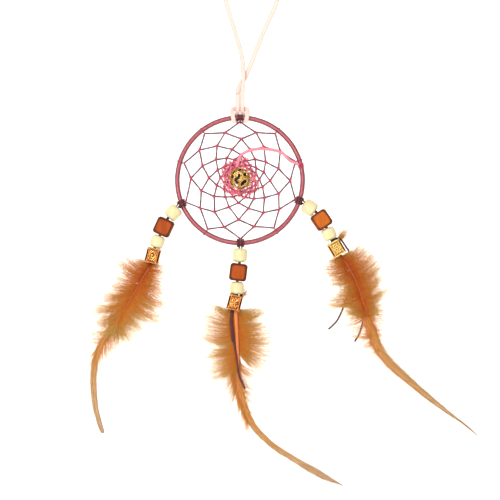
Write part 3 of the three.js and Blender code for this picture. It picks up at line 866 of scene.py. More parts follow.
def lace_path():
    """The whole lace but its second tail, and the direction of its width."""
    front, back = LACE_BACK - LACE_CROSSING, LACE_BACK + LACE_CROSSING
    top = -CENTER[2] + LACE_WIDTH / 2
    seat = -CENTER[0]
    down = in_plane([(-21.5, 151), (-17, 148), KNOT_AT, (-12.4, 134), (-9, 121), (-2.4, 99.2), (1, 87.1)])
    down += [CENTER + [2.2, front, 76], CENTER + [2.3, front, 68], CENTER + [1.7, front + 0.1, 61.5]]
    up = [CENTER + [-1.5, back - 0.3, 61.5], CENTER + [0.5, back, 66.5], CENTER + [3.9, back, 71.8]]
    up += [CENTER + [6.8, back - 0.2, 78.7]]
    up += in_plane([(11.3, 90), (15.9, 101.5), (20.5, 111.8), (24.5, 121), (27.6, 134), (27, 149)])
    up += in_plane([(20.5, 163)])
    up += in_plane([(seat + 1.5, top), (seat - 1.5, top), (-6, 168), (-12.2, 157), KNOT_AT])
    hitch, hitch_sides = lace_hitch()
    keys = np.vstack([down, hitch, up])
    sides = np.vstack([flat_sides(np.array(down)), hitch_sides, flat_sides(np.array(up))])
    return smooth(keys, 10), unit(smooth(sides, 10))


def add_lace(piece, path, sides=None, width=LACE_WIDTH, thickness=LACE_THICKNESS):
    section = rounded_rectangle(width, thickness, 0.42)
    wander = RNG.normal(0, 1, (len(path), 1, 1))
    wander = np.apply_along_axis(lambda v: np.convolve(v, np.ones(9) / 9, "same"), 0, wander)
    sections = section[None] * (1 + 0.05 * wander)
    edge = np.clip((np.abs(section[:, 0]) - width * 0.36) / (width * 0.12), 0, 1)
    sides = flat_sides(path) if sides is None else sides
    piece.sweep(path, sections, tone=np.tile(edge, len(path)), sides=sides)


def add_lace_knot(piece):
    """The overhand knot that closes the loop: a trefoil of slightly narrower lace."""
    width, thickness, size = 2.4, 1.5, 0.95
    t = np.linspace(0, 2 * np.pi, 90)
    x, y, z = np.sin(t) + 2 * np.sin(2 * t), -np.sin(3 * t) * 1.1, np.cos(t) - 2 * np.cos(2 * t)
    middle = CENTER + [KNOT_AT[0], LACE_BACK, KNOT_AT[1]]
    add_lace(piece, middle + np.stack([x, y, z], axis=-1) * size, None, width, thickness)


def make_lace():
    piece = Piece()
    path, sides = lace_path()
    add_lace(piece, path, sides)
    add_lace(piece, smooth(in_plane([KNOT_AT, (-17, 139.5), (-22.5, 137)]), 10))
    add_lace_knot(piece)
    add_fuzz(piece, path, 2600, 1.0, 0.4, 0.035, 0.3)
    return piece.build("suede_lace", [LOOKS["suede"]])


# ---- strands ----

class Strand:
    """A strand's places, read from its joints."""

    def __init__(self, name):
        self.name = name
        self.pivot, _ = joint(f"{name}_swing")
        self.upper = joint(f"{name}_upper_spin")
        self.cube = joint(f"{name}_cube_spin")
        self.lower = joint(f"{name}_lower_spin")
        self.metal = joint(f"{name}_twist")
        self.bend, _ = joint(f"{name}_curl")
        self.low_bend, _ = joint(f"{name}_curl_lower")
        out = unit(self.pivot - CENTER)
        self.angle = math.degrees(math.atan2(out[2], out[0]))
        self.tails_y = center_mm(f"{name}_cord_tails")[1]

    def from_metal(self, x, z, y=0.0):
        return self.metal[0] + [x, y, z]


def across(axis):
    """The direction across a strand, to the right, from its bead's axis."""
    return unit(np.cross([0.0, 1.0, 0.0], axis))


def legs(points, axes):
    """Paths of a doubled cord's two legs beside a line of points."""
    offsets = np.array([across(axis) for axis in axes]) * CORD_SPACING
    return [np.array(points) + offsets, np.array(points) - offsets]


def make_hitch(strand):
    """The doubled cord's hitch round the hoop, with its legs going down into the upper bead."""
    turns = 630
    steps = np.arange(90, 90 + turns, 22.5)
    u = np.interp(steps, [90, 300, 500, 90 + turns], [0.95, 1.0, 2.05, 2.1])
    wound = [round_tube(CORD_HITCH_RADIUS, degrees, x) for degrees, x in zip(steps, u)]
    start = [[0.9, 2.75, -0.8], [0.92, 2.2, -1.15], [1.0, 1.55, -2.0]]
    finish = [[2.1, 1.95, -1.7], [1.9, 1.95, -2.6], [1.2, 1.9, -3.2], [0, 1.85, -3.35]]
    half = np.array(start + wound + finish)
    loop = on_hoop(strand.angle, np.vstack([half, half[:-1][::-1] * [-1, 1, 1]]))
    center, axis = strand.upper
    inside = [center + axis * 0.9, center - axis * 1.0]
    right, left = legs(inside, [axis, axis])
    turned_over = np.dot(loop[0] - loop[-1], right[0] - left[0]) < 0
    first, last = (left, right) if turned_over else (right, left)
    path = np.vstack([first[::-1], loop, last])
    piece = Piece()
    add_cord(piece, smooth(path, 5))
    made = piece.build(f"{strand.name}_cord_knot", [LOOKS["cord"]])
    toward = unit(center - strand.pivot)
    start_mm, end_mm = strand.pivot + toward * 3.0, strand.pivot + toward * 4.4
    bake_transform(made, f"{strand.name}_hitch", f"{strand.name}_top_cord", start_mm * MM, end_mm * MM)
    return made


def make_bend(strand, label, above, below, bend, bodies, reach=1.2):
    """The doubled cord across the gap between two beads, bending or twisting as they move."""
    (top, top_axis), (low, low_axis) = above, below
    near_bend = [top * 0.45 + bend * 0.55, bend, low * 0.45 + bend * 0.55]
    points = [top + top_axis * 0.5, *near_bend, low - low_axis * 0.5]
    axes = [top_axis, top_axis, unit(top_axis + low_axis), low_axis, low_axis]
    piece = Piece()
    for leg, tint in zip(legs(points, axes), (0.4, 0.6)):
        add_cord(piece, smooth(leg, 5), tint=tint)
    made = piece.build(f"{strand.name}_cord_bend_{label}", [LOOKS["cord"]])
    toward = unit(low - top)
    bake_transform(made, *bodies, (bend - toward * reach) * MM, (bend + toward * reach) * MM)
    return made


def lathe(profile, columns):
    """Points and faces of a closed [radius, height] profile turned round Z."""
    profile = np.array(profile)
    turns = 2 * np.pi * np.arange(columns)[None] / columns
    radius, height = profile[:, :1], profile[:, 1:]
    points = np.stack([radius * np.cos(turns), radius * np.sin(turns), height + 0 * turns], axis=-1)
    return points, [grid_faces(len(profile), columns, wrap_rows=True)]


def turn_to(points, place):
    """Turns points from Z-up round the origin to a bead's place on its strand."""
    center, axis = place
    basis = np.array([across(axis), [0.0, 1.0, 0.0], axis])
    return center + points.reshape(-1, 3) @ basis


def barrel(strand, label, place, half):
    """A turned wooden barrel with a softly rounded shoulder and a countersunk bore."""
    radius = depth_mm(f"{strand.name}_{label}_bead") / 2
    shoulder = [(2.5, half - 0.02), (0.62 * radius, half - 0.12), (0.8 * radius, half - 0.5)]
    shoulder += [(0.9 * radius, half - 1.0), (0.965 * radius, half - 1.8), (radius, 0.7)]
    bore = [(2.1, 0.0), (2.1, half - 0.5), (2.2, half - 0.15)]
    top = smooth(bore + shoulder, 4)[::-1]
    profile = np.vstack([top, (top * [1, -1])[::-1]])
    columns = 64
    points, faces = lathe(profile[::-1], columns)
    # Painted shade: the bore and its mouth are darkened through tone.
    inside = np.clip((2.6 - profile[::-1][:, 0]) / 0.5, 0, 1)
    wobble = 1 + 0.006 * np.sin(3 * np.arange(columns) * 2 * np.pi / columns + half)
    points[..., :2] *= wobble[None, :, None]
    piece = Piece()
    piece.add(turn_to(points, place), faces, tone=np.repeat(0.75 * inside, columns))
    return piece.build(f"{strand.name}_{label}_barrel", [LOOKS["cream"]])


def square_edge(half, per_side, per_corner):
    """A sharp square's outline with outward normals that turn at its corners: two (N, 2) arrays."""
    points, normals = [], []
    run = np.linspace(-half, half, per_side)
    for turn in range(4):
        angle = turn * np.pi / 2
        normal = np.array([math.cos(angle), math.sin(angle)])
        side = np.array([-normal[1], normal[0]])
        points.append(half * normal + run[:, None] * side)
        normals.append(np.repeat(normal[None], per_side, axis=0))
        corner = angle + np.linspace(0, np.pi / 2, per_corner + 2)[1:-1]
        points.append(np.repeat((half * (normal + side))[None], per_corner, axis=0))
        normals.append(np.stack([np.cos(corner), np.sin(corner)], axis=-1))
    return np.vstack(points), np.vstack(normals)


def edge_shade(points, half):
    """Painted shade on a block at each point: none on the pale panels with round corners, and dark on the
    rounded edges between them.
    """
    across_face = np.sort(np.abs(points) / half, axis=-1)[..., :2]
    nearness = np.sum(across_face**5, axis=-1) ** 0.2
    share = np.clip((nearness - 0.67) / 0.17, 0, 1)
    return share * share * (3 - 2 * share)


def at_height(outline, height):
    """A flat outline's points at one height."""
    return np.column_stack([outline, np.full(len(outline), height)])


def cube(strand, look):
    """A wooden cube with rounded edges and a round bore, with painted shade on the edges and in the bore."""
    half, rounding, bore = CUBE_HALF, 2.1, 2.1
    edge, normal = square_edge(half - rounding, 24, 7)
    mouth = unit(edge + normal * rounding) * (bore + 0.35)
    rows = [(mouth + (edge - mouth) * share, half - 0.05 * (1 - share)) for share in np.linspace(0, 1, 9)]
    for turn in np.linspace(0, np.pi / 2, 10)[1:]:
        rows.append((edge + normal * rounding * math.sin(turn), half - rounding * (1 - math.cos(turn))))
    for share in np.linspace(0, 1, 13)[1:-1]:
        rows.append((edge + normal * rounding, (half - rounding) * (1 - 2 * share)))
    outside = np.array([at_height(outline, height) for outline, height in rows])
    low = outside[:18][::-1] * [1, 1, -1]
    heights = [(bore + 0.1, 0.2 - half), (bore, 0.6 - half), (bore, half - 0.6), (bore + 0.1, half - 0.2)]
    core = np.array([at_height(unit(mouth) * radius, height) for radius, height in heights])
    points = np.vstack([outside, low, core])[::-1]
    tone = edge_shade(points, half)
    # Painted shade: the bore is fully dark.
    tone[:4] = 1
    piece = Piece()
    faces = [grid_faces(*points.shape[:2], wrap_rows=True)]
    piece.add(turn_to(points, strand.cube), faces, tone=tone.reshape(-1))
    return piece.build(f"{strand.name}_cube_block", [look])


def spiral(u, v):
    """A scroll that winds out from the middle, with leaves in the corners."""
    radius, turn = np.hypot(u, v * 1.15), np.arctan2(v, u)
    scroll = np.cos(turn - radius * 11) * (radius < 0.62) * (radius > 0.05)
    leaves = np.cos(14 * (np.abs(u) + np.abs(v))) * (radius >= 0.66)
    return np.clip(0.5 + 0.7 * scroll + 0.5 * leaves, 0, 1)


def floral(u, v):
    """A rosette of petals in a field of fine scrolls."""
    radius, turn = np.hypot(u, v), np.arctan2(v, u)
    petals = np.cos(6 * turn + 3 * radius) * (radius < 0.55) * (radius > 0.12)
    field = np.sin(13 * u + 3 * np.sin(7 * v)) * np.sin(12 * v + 2 * np.cos(6 * u)) * (radius >= 0.5)
    return np.clip(0.45 + 0.6 * petals + 0.8 * field + 0.6 * (radius < 0.1), 0, 1)


def filigree(u, v):
    """A net of small rings and beads."""
    rings = np.cos(11 * np.hypot(((u * 2.2) % 1) - 0.5, ((v * 2.6) % 1) - 0.5))
    vines = np.sin(9 * u + 4 * np.sin(5 * v)) * np.sin(10 * v)
    return np.clip(0.5 + 0.5 * rings + 0.4 * vines, 0, 1)


def panel_relief(u, v, pattern, flat):
    """Heights from 0 to 1 round one row of a metal bead: its rims, and a framed pattern on each side."""
    rim = np.exp(-(((abs(v) - 0.93) / 0.055) ** 2)) + 0.6 * np.exp(-(((abs(v) - 0.78) / 0.03) ** 2))
    frame_line = np.exp(-(((np.abs(u) - 0.8) / 0.06) ** 2)) * (abs(v) < 0.8)
    panel = pattern(u / 0.72, np.full_like(u, v / 0.72)) * (np.abs(u) < 0.7) * (abs(v) < 0.7)
    return np.clip(rim + (frame_line + panel) * flat, 0, 1)


def metal(strand, pattern, look):
    """A square tube of plated metal with rolled rims and an embossed panel on each side."""
    half, flat_half, inner_corner = METAL_HALF, METAL_WIDTH / 2 - METAL_CORNER, 0.6
    edge, normal = square_edge(flat_half, 34, 5)
    along_side = np.where(np.abs(normal[:, 0]) > np.abs(normal[:, 1]), edge[:, 1], edge[:, 0])
    u = along_side / flat_half * 0.86
    flat = np.clip((np.max(np.abs(normal), axis=1) - 0.96) / 0.04, 0, 1)
    rows, tones = [], []
    for z in np.linspace(-half, half, 56):
        relief = panel_relief(u, z / half, pattern, flat)
        out = METAL_CORNER - 0.25 + 0.32 * relief + 0.3 * (abs(z / half) > 0.86)
        rows.append(at_height(edge + normal * out[:, None], z))
        # The relief is the colour too: at the corners, where flat is 0, only the rims are bright, and the
        # rest is painted shade and dark reflection.
        tones.append(relief * 0.95)
    inner = edge * (METAL_BORE / 2 - inner_corner) / flat_half + normal * inner_corner
    # The bore's rows take tone 0, painted shade inside it.
    for z in (half - 0.1, 0.0, 0.1 - half):
        rows.append(at_height(inner, z))
        tones.append(np.zeros(len(edge)))
    points = np.array(rows)
    piece = Piece()
    faces = [grid_faces(*points.shape[:2], wrap_rows=True)]
    piece.add(turn_to(points, strand.metal), faces, tone=np.concatenate(tones))
    return piece.build(f"{strand.name}_embossed_bead", [look])


def outer_leg(strand, behind):
    """A leg that leaves the cord above the metal bead and passes the bead on its right."""
    center, axis = strand.metal
    side, top = across(axis), METAL_HALF + 0.8
    bulge = [(top, 0, 0), (top + 0.1, 1.6, 0.2), (top - 0.1, 3.4, 0.4), (top - 1, 5.0, 0.6)]
    bulge += [(top - 3, 5.9, 0.8), (0, 6.2, 1.0), (-4, 6.3, behind), (-8, 6.0, behind)]
    return [center + axis * a + side * b + [0, y, 0] for a, b, y in bulge]


def make_tails(strand, tails, leg_outside):
    """The cord's end: through the metal bead, a knot under it, and two loose tails."""
    center, axis = strand.metal
    behind = strand.tails_y - center[1]
    under = center - axis * (METAL_HALF + 1.6) + [0, behind, 0]
    start = [center + axis * (METAL_HALF - 0.6), center + axis * 2.5 + [0, behind * 0.8, 0]]
    start += [center - axis * 2 + [0, behind, 0], under]
    piece = Piece()
    for leg, tint in zip(legs(start, [axis] * len(start)), (0.4, 0.6)):
        add_cord(piece, smooth(leg, 6), tint=tint)
    for turn in (0.0, 1.0):
        add_loop(piece, under + axis * (0.5 - turn), axis + [0.3, 0, 0.2 * turn], 0.85, 1.3, 0.5, 0.5, 0.5)
    paths = [[under] + [strand.from_metal(x, z, behind) for x, z in keys] for keys in tails]
    if leg_outside:
        paths[1] = outer_leg(strand, behind) + paths[1][2:]
    for path, tint in zip(paths, (0.35, 0.65)):
        add_cord(piece, smooth(path, 8), TAIL_RADIUS, tint=tint)
    return piece.build(f"{strand.name}_cord_ends", [LOOKS["cord"]])


# ---- feathers ----

PLUME_FLUFF = 3.2
VANE_BARBS = 1200


def curved_hairs(roots, tips, lead, wave, segments, side_wave=0.5):
    """Hairs that leave their roots along `lead`, then curve out to their tips with a slight wave."""
    t = np.linspace(0, 1, segments)[None, :, None]
    control = roots + (tips - roots) * 0.38 + lead
    paths = (1 - t) ** 2 * roots[:, None] + 2 * t * (1 - t) * control[:, None] + t**2 * tips[:, None]
    reach = np.linalg.norm(tips - roots, axis=1)[:, None, None]
    phase = RNG.uniform(0, 2 * np.pi, (len(roots), 1, 3))
    rate = RNG.uniform(4, 9, (len(roots), 1, 3))
    return paths + wave * reach * t * np.sin(phase + rate * t) * [1.0, side_wave, 1.0]


def add_hairs(piece, paths, thick, thin, tone, tint, slot=0):
    """Thin tapering hairs. `tone` has a value for each point of each path, and `tint` one for each path."""
    length = paths.shape[1]
    t = np.linspace(0, 1, length)[None]
    points, faces = tubes(paths, thick + (thin - thick) * t)
    tones, tints = (per_point(values, length, HAIR_SIDES) for values in (np.clip(tone, 0, 1), tint))
    piece.add(points, faces, tone=tones, tint=tints, slot=slot)


def add_barbules(piece, paths, count, length, deep, slot=0):
    """Short soft hairs along the outer part of the barbs, which make down look fluffy.

    `deep` is the tone at each barb's root.
    """
    which = RNG.integers(0, len(paths), count)
    share = RNG.uniform(0.25, 1.0, count)
    step = share * (paths.shape[1] - 1)
    low = np.minimum(step.astype(int), paths.shape[1] - 2)
    near, far = paths[which, low], paths[which, low + 1]
    roots = near + (far - near) * (step - low)[:, None]
    ahead = unit(far - near)
    lean = unit(ahead * RNG.uniform(0.3, 1.3, (count, 1)) + RNG.normal(0, 0.6, (count, 3)) * [1, 0.7, 1])
    tips = roots + lean * (length * RNG.uniform(0.4, 1.0, (count, 1)))
    hairs = curved_hairs(roots, tips, ahead * 0.3, 0.05, 3)
    tone = (deep[which] + 0.1 + 0.75 * share**1.2)[:, None] + np.linspace(0, 0.12, 3)[None]
    add_hairs(piece, hairs, 0.055, 0.02, tone, RNG.uniform(0.2, 1, count), slot)


def tufted(share, count, pull):
    """Draws shares of an edge together into tufts. Gives the new shares and how far each tuft reaches."""
    centers = (np.arange(count) + RNG.uniform(0.15, 0.85, count)) / count
    tuft = np.argmin(np.abs(share[:, None] - centers[None]), axis=1)
    return share + (centers[tuft] - share) * pull, RNG.uniform(0.84, 1.12, count)[tuft]


def add_plume_side(piece, strand, shape, shaft, layer, edge_keys, last_root):
    """Barbs from one side of the shaft to the plume's edge, drawn into tufts, with a few long wisps."""
    edge = smooth([strand.from_metal(x, z, layer) for x, z in edge_keys], 10)
    count, depth, back = shape["barbs"], shape["depth"], shape["back"]
    share = RNG.random(count) ** 0.92
    drawn, tuft_reach = tufted(share, shape["tufts"], 0.27)
    root_share = np.clip(last_root * share, 0, 1)
    roots = at(shaft, root_share) + RNG.normal(0, 0.12, (count, 3))
    wanted = at(edge, drawn + RNG.normal(0, 0.016, count))
    reach = (tuft_reach * (1 - 0.72 * RNG.random(count) ** 1.5))[:, None]
    wisp = RNG.random((count, 1)) < 0.08
    reach = np.where(wisp, RNG.uniform(1.02, 1.38, (count, 1)), reach)
    tips = roots + (wanted - roots) * reach
    spread = RNG.normal(0, 1, count) * depth * np.minimum(reach[:, 0], 1)
    tips[:, 1] += np.where(spread < 0, spread * (1 - back), spread) + back * depth * 0.6
    tips[:, 2] += RNG.normal(0, 0.7, count)
    ahead, behind = np.minimum(root_share + 0.02, 1), np.maximum(root_share - 0.02, 0)
    forward = unit(at(shaft, ahead) - at(shaft, behind))
    length = np.linalg.norm(tips - roots, axis=1)[:, None]
    paths = curved_hairs(roots, tips, forward * length * 0.24, 0.035, 6)
    t = np.linspace(0, 1, 6)[None]
    deep, fade = (first + (last - first) * share for first, last in shape["tone"])
    tone = deep[:, None] + t**1.2 * (0.2 + 0.8 * np.minimum(reach, 1)) * fade[:, None]
    add_hairs(piece, paths, 0.13, 0.024, tone, RNG.uniform(0, 1, count) ** 0.7)
    add_barbules(piece, paths, int(count * 3.8), PLUME_FLUFF, deep)


def add_fluff(piece, strand, root, aim, count):
    """A small tuft of down that stands out behind the beads."""
    depth = 3.0
    start = strand.from_metal(*root, depth)
    roots = start + RNG.normal(0, 0.5, (count, 3)) * [1, 0.4, 1]
    spread = RNG.normal(0, 2.0, (count, 3)) * [1, 0.5, 1]
    tips = start + (strand.from_metal(*aim, depth) - start) * RNG.uniform(0.45, 1.15, (count, 1)) + spread
    lead = unit(tips - roots) * RNG.normal(0, 0.6, (count, 3))
    paths = curved_hairs(roots, tips, lead, 0.06, 5)
    tone = np.linspace(0.3, 0.95, 5)[None] * RNG.uniform(0.8, 1.1, (count, 1))
    add_hairs(piece, paths, 0.1, 0.025, tone, RNG.uniform(0, 1, count))
    add_barbules(piece, paths, count * 4, 1.8, np.full(count, 0.3))


def make_down(strand, shape):
    """The fluffy plume: barbs grow from the shaft out to the plume's two edges."""
    layer = center_mm(f"{strand.name}_down_feather")[1] - strand.metal[0][1]
    shaft = smooth([strand.from_metal(x, z, layer) for x, z in shape["shaft"]], 10)
    piece = Piece()
    for side, last_root in (("left", shape["ends"][0]), ("right", shape["ends"][1])):
        add_plume_side(piece, strand, shape, shaft, layer, shape[side], last_root)
    for x, z, aim_x, aim_z, count in shape["fluffs"]:
        add_fluff(piece, strand, (x, z), (aim_x, aim_z), count)
    width = np.linspace(*shape["quill"], len(shaft))
    section = circle(1, 10)[None] * width[:, None, None] * [[[0.5, 1.0]]]
    emerging = np.clip(np.linspace(0, 1, len(shaft)) / shape["quill_from"], 0, 1)[:, None] ** 2
    quill = shaft - np.array([0, shape["quill_front"], 0]) * emerging
    piece.sweep(quill, section, tone=np.repeat(np.linspace(0, 0.5, len(shaft)), 10), slot=1)
    return piece.build(f"{strand.name}_down_plume", [LOOKS["down"], LOOKS["quill"]])


def vane_sheet(piece, path, half_width, shaft_side, tone):
    """The vane's own web: a thin leaf, creased along its shaft."""
    tangents = tangents_of(path)
    side = unit(np.cross(tangents, FRONT))
    rows = np.linspace(-1, 1, 9)
    crease = 0.35 * np.abs(rows - shaft_side)
    front = path[:, None] + side[:, None] * (rows[None, :, None] * half_width[:, None, None])
    front = front + np.array([0.0, 1.0, 0.0]) * (crease * 0.5)[None, :, None]
    thick = 0.1 * np.sqrt(np.clip(1 - rows**2, 0, 1))[None, :, None] * np.array([0.0, 1.0, 0.0])
    ring = np.concatenate([front - thick, (front + thick)[:, 1:-1][:, ::-1]], axis=1)
    size = ring.shape[:2]
    piece.add(ring, [grid_faces(*size)] + end_caps(*size), tone=np.repeat(tone, size[1]), tint=0.75)


def add_vane_barbs(piece, shape, whole, hand):
    """Close barbs on one side of the vane, most frayed at its upper end."""
    count = VANE_BARBS
    s = np.sort(RNG.random(count)) * 0.99
    ahead = 0.07 + 0.05 * RNG.random(count)
    root, tip = at(whole, s), at(whole, np.minimum(s + ahead, 1))
    forward = unit(at(whole, np.minimum(s + 0.01, 1))[:, :3] - at(whole, np.maximum(s - 0.01, 0))[:, :3])
    side = unit(np.cross(forward, FRONT))
    root_at = root[:, :3] + side * root[:, 3:] * shape["shaft"]
    frayed = 0.62 - 0.42 * s[:, None]
    reach = hand * (0.7 + frayed * RNG.random((count, 1)) ** 1.6)
    tip_at = tip[:, :3] + side * tip[:, 3:] * reach
    lift = RNG.choice([-1, 1], count) * RNG.uniform(0.06, 0.22, count)
    root_at[:, 1] += lift
    tip_at[:, 1] += lift + RNG.normal(0, 0.12, count)
    paths = curved_hairs(root_at, tip_at, forward * 0.6, 0.012, 6)
    tone = s[:, None] + np.linspace(-0.05, 0.16, 6)[None] + RNG.normal(0, 0.08, (count, 1))
    add_hairs(piece, paths, 0.12, 0.035, tone, RNG.uniform(0, 1, count))


def add_vane_quill(piece, strand, shape, whole, layer):
    """The shaft, from inside the metal bead to the vane's tip."""
    line = at(whole, np.linspace(0, 0.995, 120))
    side = unit(np.cross(tangents_of(line[:, :3]), FRONT))
    path = line[:, :3] + side * line[:, 3:] * shape["shaft"] - [0, 0.18, 0]
    top = [strand.metal[0] + strand.metal[1] * height + [0, layer, 0] for height in (2.5, -3, -7)]
    path = np.vstack([smooth(np.vstack([top, path[:1]]), 6)[:-1], path])
    width = np.linspace(0.5, 0.12, len(path))[:, None, None]
    tone = np.repeat(np.linspace(0.2, 1, len(path)) ** 1.5, 8)
    piece.sweep(path, circle(1, 8)[None] * width, tone=tone, slot=1)


def make_long(strand, shape):
    """The long curled feather: a vane of close barbs with a few loose ones up by the down."""
    layer = center_mm(f"{strand.name}_long_feather")[1] - strand.metal[0][1]
    line = smooth([[x, layer, z, width] for x, z, width in shape["vane"]], 14)
    path, half_width = line[:, :3] + strand.metal[0], line[:, 3]
    share = distances(path) / distances(path)[-1]
    piece = Piece()
    vane_sheet(piece, path, half_width * 0.62, shape["shaft"], share + 0.03)
    whole = np.column_stack([path, half_width])
    for hand in (-1, 1):
        add_vane_barbs(piece, shape, whole, hand)
    add_loose_barbs(piece, strand, shape, whole, layer)
    add_vane_quill(piece, strand, shape, whole, layer)
    return piece.build(f"{strand.name}_long_plume", [LOOKS["vane"], LOOKS["quill"], LOOKS["down"]])


def add_loose_barbs(piece, strand, shape, whole, layer):
    """Stray barbs: each group grows from a stretch of the shaft towards a stretch of open air."""
    for first, last, near, far, count in shape["loose"]:
        s = RNG.uniform(first, last, count)
        share = (s - first) / (last - first)
        root = at(whole, s)[:, :3]
        aim = np.array(near)[None] * (1 - share[:, None]) + np.array(far)[None] * share[:, None]
        tip = strand.metal[0] + np.column_stack([aim[:, 0], np.full(count, layer), aim[:, 1]])
        tip = root + (tip - root) * RNG.uniform(0.6, 1.06, (count, 1))
        tip = tip + RNG.normal(0, 1.1, (count, 3)) * [1, 1.2, 1]
        forward = unit(at(whole, np.minimum(s + 0.03, 1))[:, :3] - root)
        length = np.linalg.norm(tip - root, axis=1)[:, None]
        paths = curved_hairs(root, tip, forward * length * 0.3, 0.02, 9)
        tone = 0.3 + 0.6 * np.linspace(0, 1, 9)[None] * RNG.uniform(0.7, 1.2, (count, 1))
        add_hairs(piece, paths, 0.13, 0.035, tone, RNG.uniform(0, 1, count), 2)
        add_barbules(piece, paths, count, 2.0, np.full(count, 0.4), 2)


# Shapes are (x, z) points from the metal bead's centre, and a vane's third number is its half width.
# "ends": the share of the shaft that each side's last barb grows from.
# "tone": the barbs' tone at their roots, and its rise to their tips, each at the plume's top and at its end.
# "fluffs": a tuft's root, its aim and its number of hairs.
# "loose": the two shares of the shaft between which a group grows, its first and last tips, and its number.
SHAPES = {
    "left": {
        "tails": [[(-4, -14), (-9, -26), (-15, -38)], [(-1, -14), (-4, -24), (-7, -33)]],
        "pattern": spiral,
        "down": {
            "shaft": [(-0.8, -5), (-3.5, -9.5), (-7.3, -16), (-13.7, -27.5), (-20.1, -38.9), (-24, -46)],
            "left": [(-8, -2.2), (-18, -1.1), (-24, -3), (-24, -11), (-29, -17.5), (-32.5, -23.5),
                     (-37.5, -30), (-41, -36), (-42, -41.5), (-41.5, -47), (-36.5, -53.5), (-30, -57),
                     (-25, -61)],
            "right": [(5, -4.5), (8.5, -9), (8.5, -15), (7, -19), (8.5, -26), (10, -35), (1, -36.5), (6, -42),
                      (0.5, -46.5), (-6, -48), (-8.5, -54), (-15, -58), (-22, -61)],
            "ends": (1, 1), "tufts": 17, "barbs": 1450, "depth": 2.4, "back": 0.2, "fluffs": [],
            "tone": ((0.0, 0.34), (0.72, 0.9)),
            "quill": (0.2, 0.15), "quill_front": 1.3, "quill_from": 0.55,
        },
        "long": {
            "vane": [(-6, -17, 0.5), (-14, -30, 1.4), (-24, -44, 2.0), (-34.2, -58.2, 2.1), (-38.9, -69, 2.3),
                     (-41.2, -82.7, 2.5), (-40.8, -93, 2.6), (-39.6, -105, 2.3), (-37.2, -114.5, 2.0),
                     (-34.9, -121.4, 1.8), (-34.4, -122.6, 0.9)],
            "shaft": 0.15,
            "loose": [(0.24, 0.44, (-42, -44), (-45.5, -60), 90), (0.38, 0.52, (-46, -65), (-45.5, -83), 60),
                      (0.2, 0.4, (-21, -61), (-32, -74), 170), (0.38, 0.5, (-33, -74), (-38.5, -88), 60)],
        },
    },
    "middle": {
        "tails": [[(-2.2, -12), (-1.2, -21), (0, -30), (1.7, -39), (2.9, -50), (7.2, -59.6)],
                  [(-2.9, -12), (-2.4, -19), (-1.6, -27)]],
        "pattern": floral,
        "down": {
            "shaft": [(0.6, -5), (0.9, -12), (1.6, -24), (2.2, -36), (2.4, -44)],
            "left": [(-7, -4), (-13, -2.3), (-19, -2.2), (-22, -7.5), (-23, -14), (-24.5, -22),
                     (-23.5, -27), (-13, -29.7), (-20, -34.5), (-24, -38), (-20, -43), (-18, -49),
                     (-12.5, -54), (-6, -53)],
            "right": [(4.5, -6.2), (12, -4.4), (21, -5.3), (15.5, -11.3), (26, -15.8), (24.5, -21),
                      (26.5, -25), (25.5, -30), (26.5, -35), (21.5, -40), (16.5, -45), (11.5, -44.5),
                      (7.5, -38)],
            "ends": (1, 0.72), "tufts": 15, "barbs": 1500, "depth": 2.3, "back": 0.85,
            "tone": ((0.24, 0.2), (0.8, 0.9)),
            "quill": (1.5, 0.8), "quill_front": 0.9, "quill_from": 0.02,
            "fluffs": [(4, 4.5, 9, 8, 60)],
        },
        "long": {
            "vane": [(0, -16, 0.5), (1, -33, 2.2), (1.2, -49.3, 3.2), (1.9, -58.8, 3.7), (4.4, -67.8, 3.4),
                     (7.2, -76.2, 3.0), (10.9, -83.1, 2.5), (16.7, -90.5, 2.3), (25, -98.2, 2.2),
                     (33.4, -104, 2.2), (41.9, -109.1, 2.2), (49.3, -113.6, 2.5), (56.6, -117.7, 2.9),
                     (64.6, -122, 2.2), (74.6, -126.6, 0.15)],
            "shaft": -0.3,
            "loose": [(0.16, 0.28, (-9, -59), (-2, -73), 150), (0.28, 0.42, (1, -77), (10, -93), 110),
                      (0.14, 0.28, (16, -50), (13, -68), 150), (0.28, 0.4, (13, -69), (14.5, -84), 80)],
        },
    },
    "right": {
        "tails": [[(6, -14), (9, -27), (6.8, -35), (4.5, -41.8), (0.3, -50.2), (-5.5, -56)],
                  [(13, -14), (18, -32), (19, -45), (16.6, -57.1), (12.7, -64.5)]],
        "pattern": filigree,
        "down": {
            "shaft": [(2.6, -5), (6, -9.5), (9.7, -15.4), (14.5, -25.9), (19.8, -41.8), (21, -46)],
            "left": [(-2.5, -6), (-6, -9), (-10.5, -15.5), (-6.5, -22.5), (-0.5, -25), (2, -29),
                     (-5.5, -34.3), (-4.5, -39), (3, -40), (6, -43.5), (12, -48)],
            "right": [(10, -3), (13.5, 0.4), (20, 0.6), (26.5, -5), (30, -10), (31, -16.5),
                      (32, -22), (33, -28), (32.5, -34.5), (31, -40), (28, -46)],
            "ends": (1, 1), "tufts": 16, "barbs": 1450, "depth": 2.4, "back": 0.2,
            "tone": ((0.04, 0.14), (0.82, 1.0)),
            "quill": (0.22, 0.15), "quill_front": 1.1, "quill_from": 0.5,
            "fluffs": [(2.5, 6, 6, 12, 130)],
        },
        "long": {
            "vane": [(8, -16, 0.5), (14, -30, 2.2), (20.5, -45, 3.6), (25, -57, 4.1), (28.6, -68, 4.2),
                     (33, -74.8, 4.0), (39.1, -81.2, 3.7), (51.8, -92.5, 2.9), (66.6, -105, 2.1),
                     (80.3, -115.5, 1.1), (91.2, -123.4, 0.4), (97.5, -129.2, 0.12)],
            "shaft": 0.6,
            "loose": [(0.12, 0.34, (35, -43), (33, -63), 170), (0.15, 0.32, (3, -47), (10, -62), 150),
                      (0.28, 0.4, (12, -64), (23, -76), 100)],
        },
    },
}


# ---- assembly ----

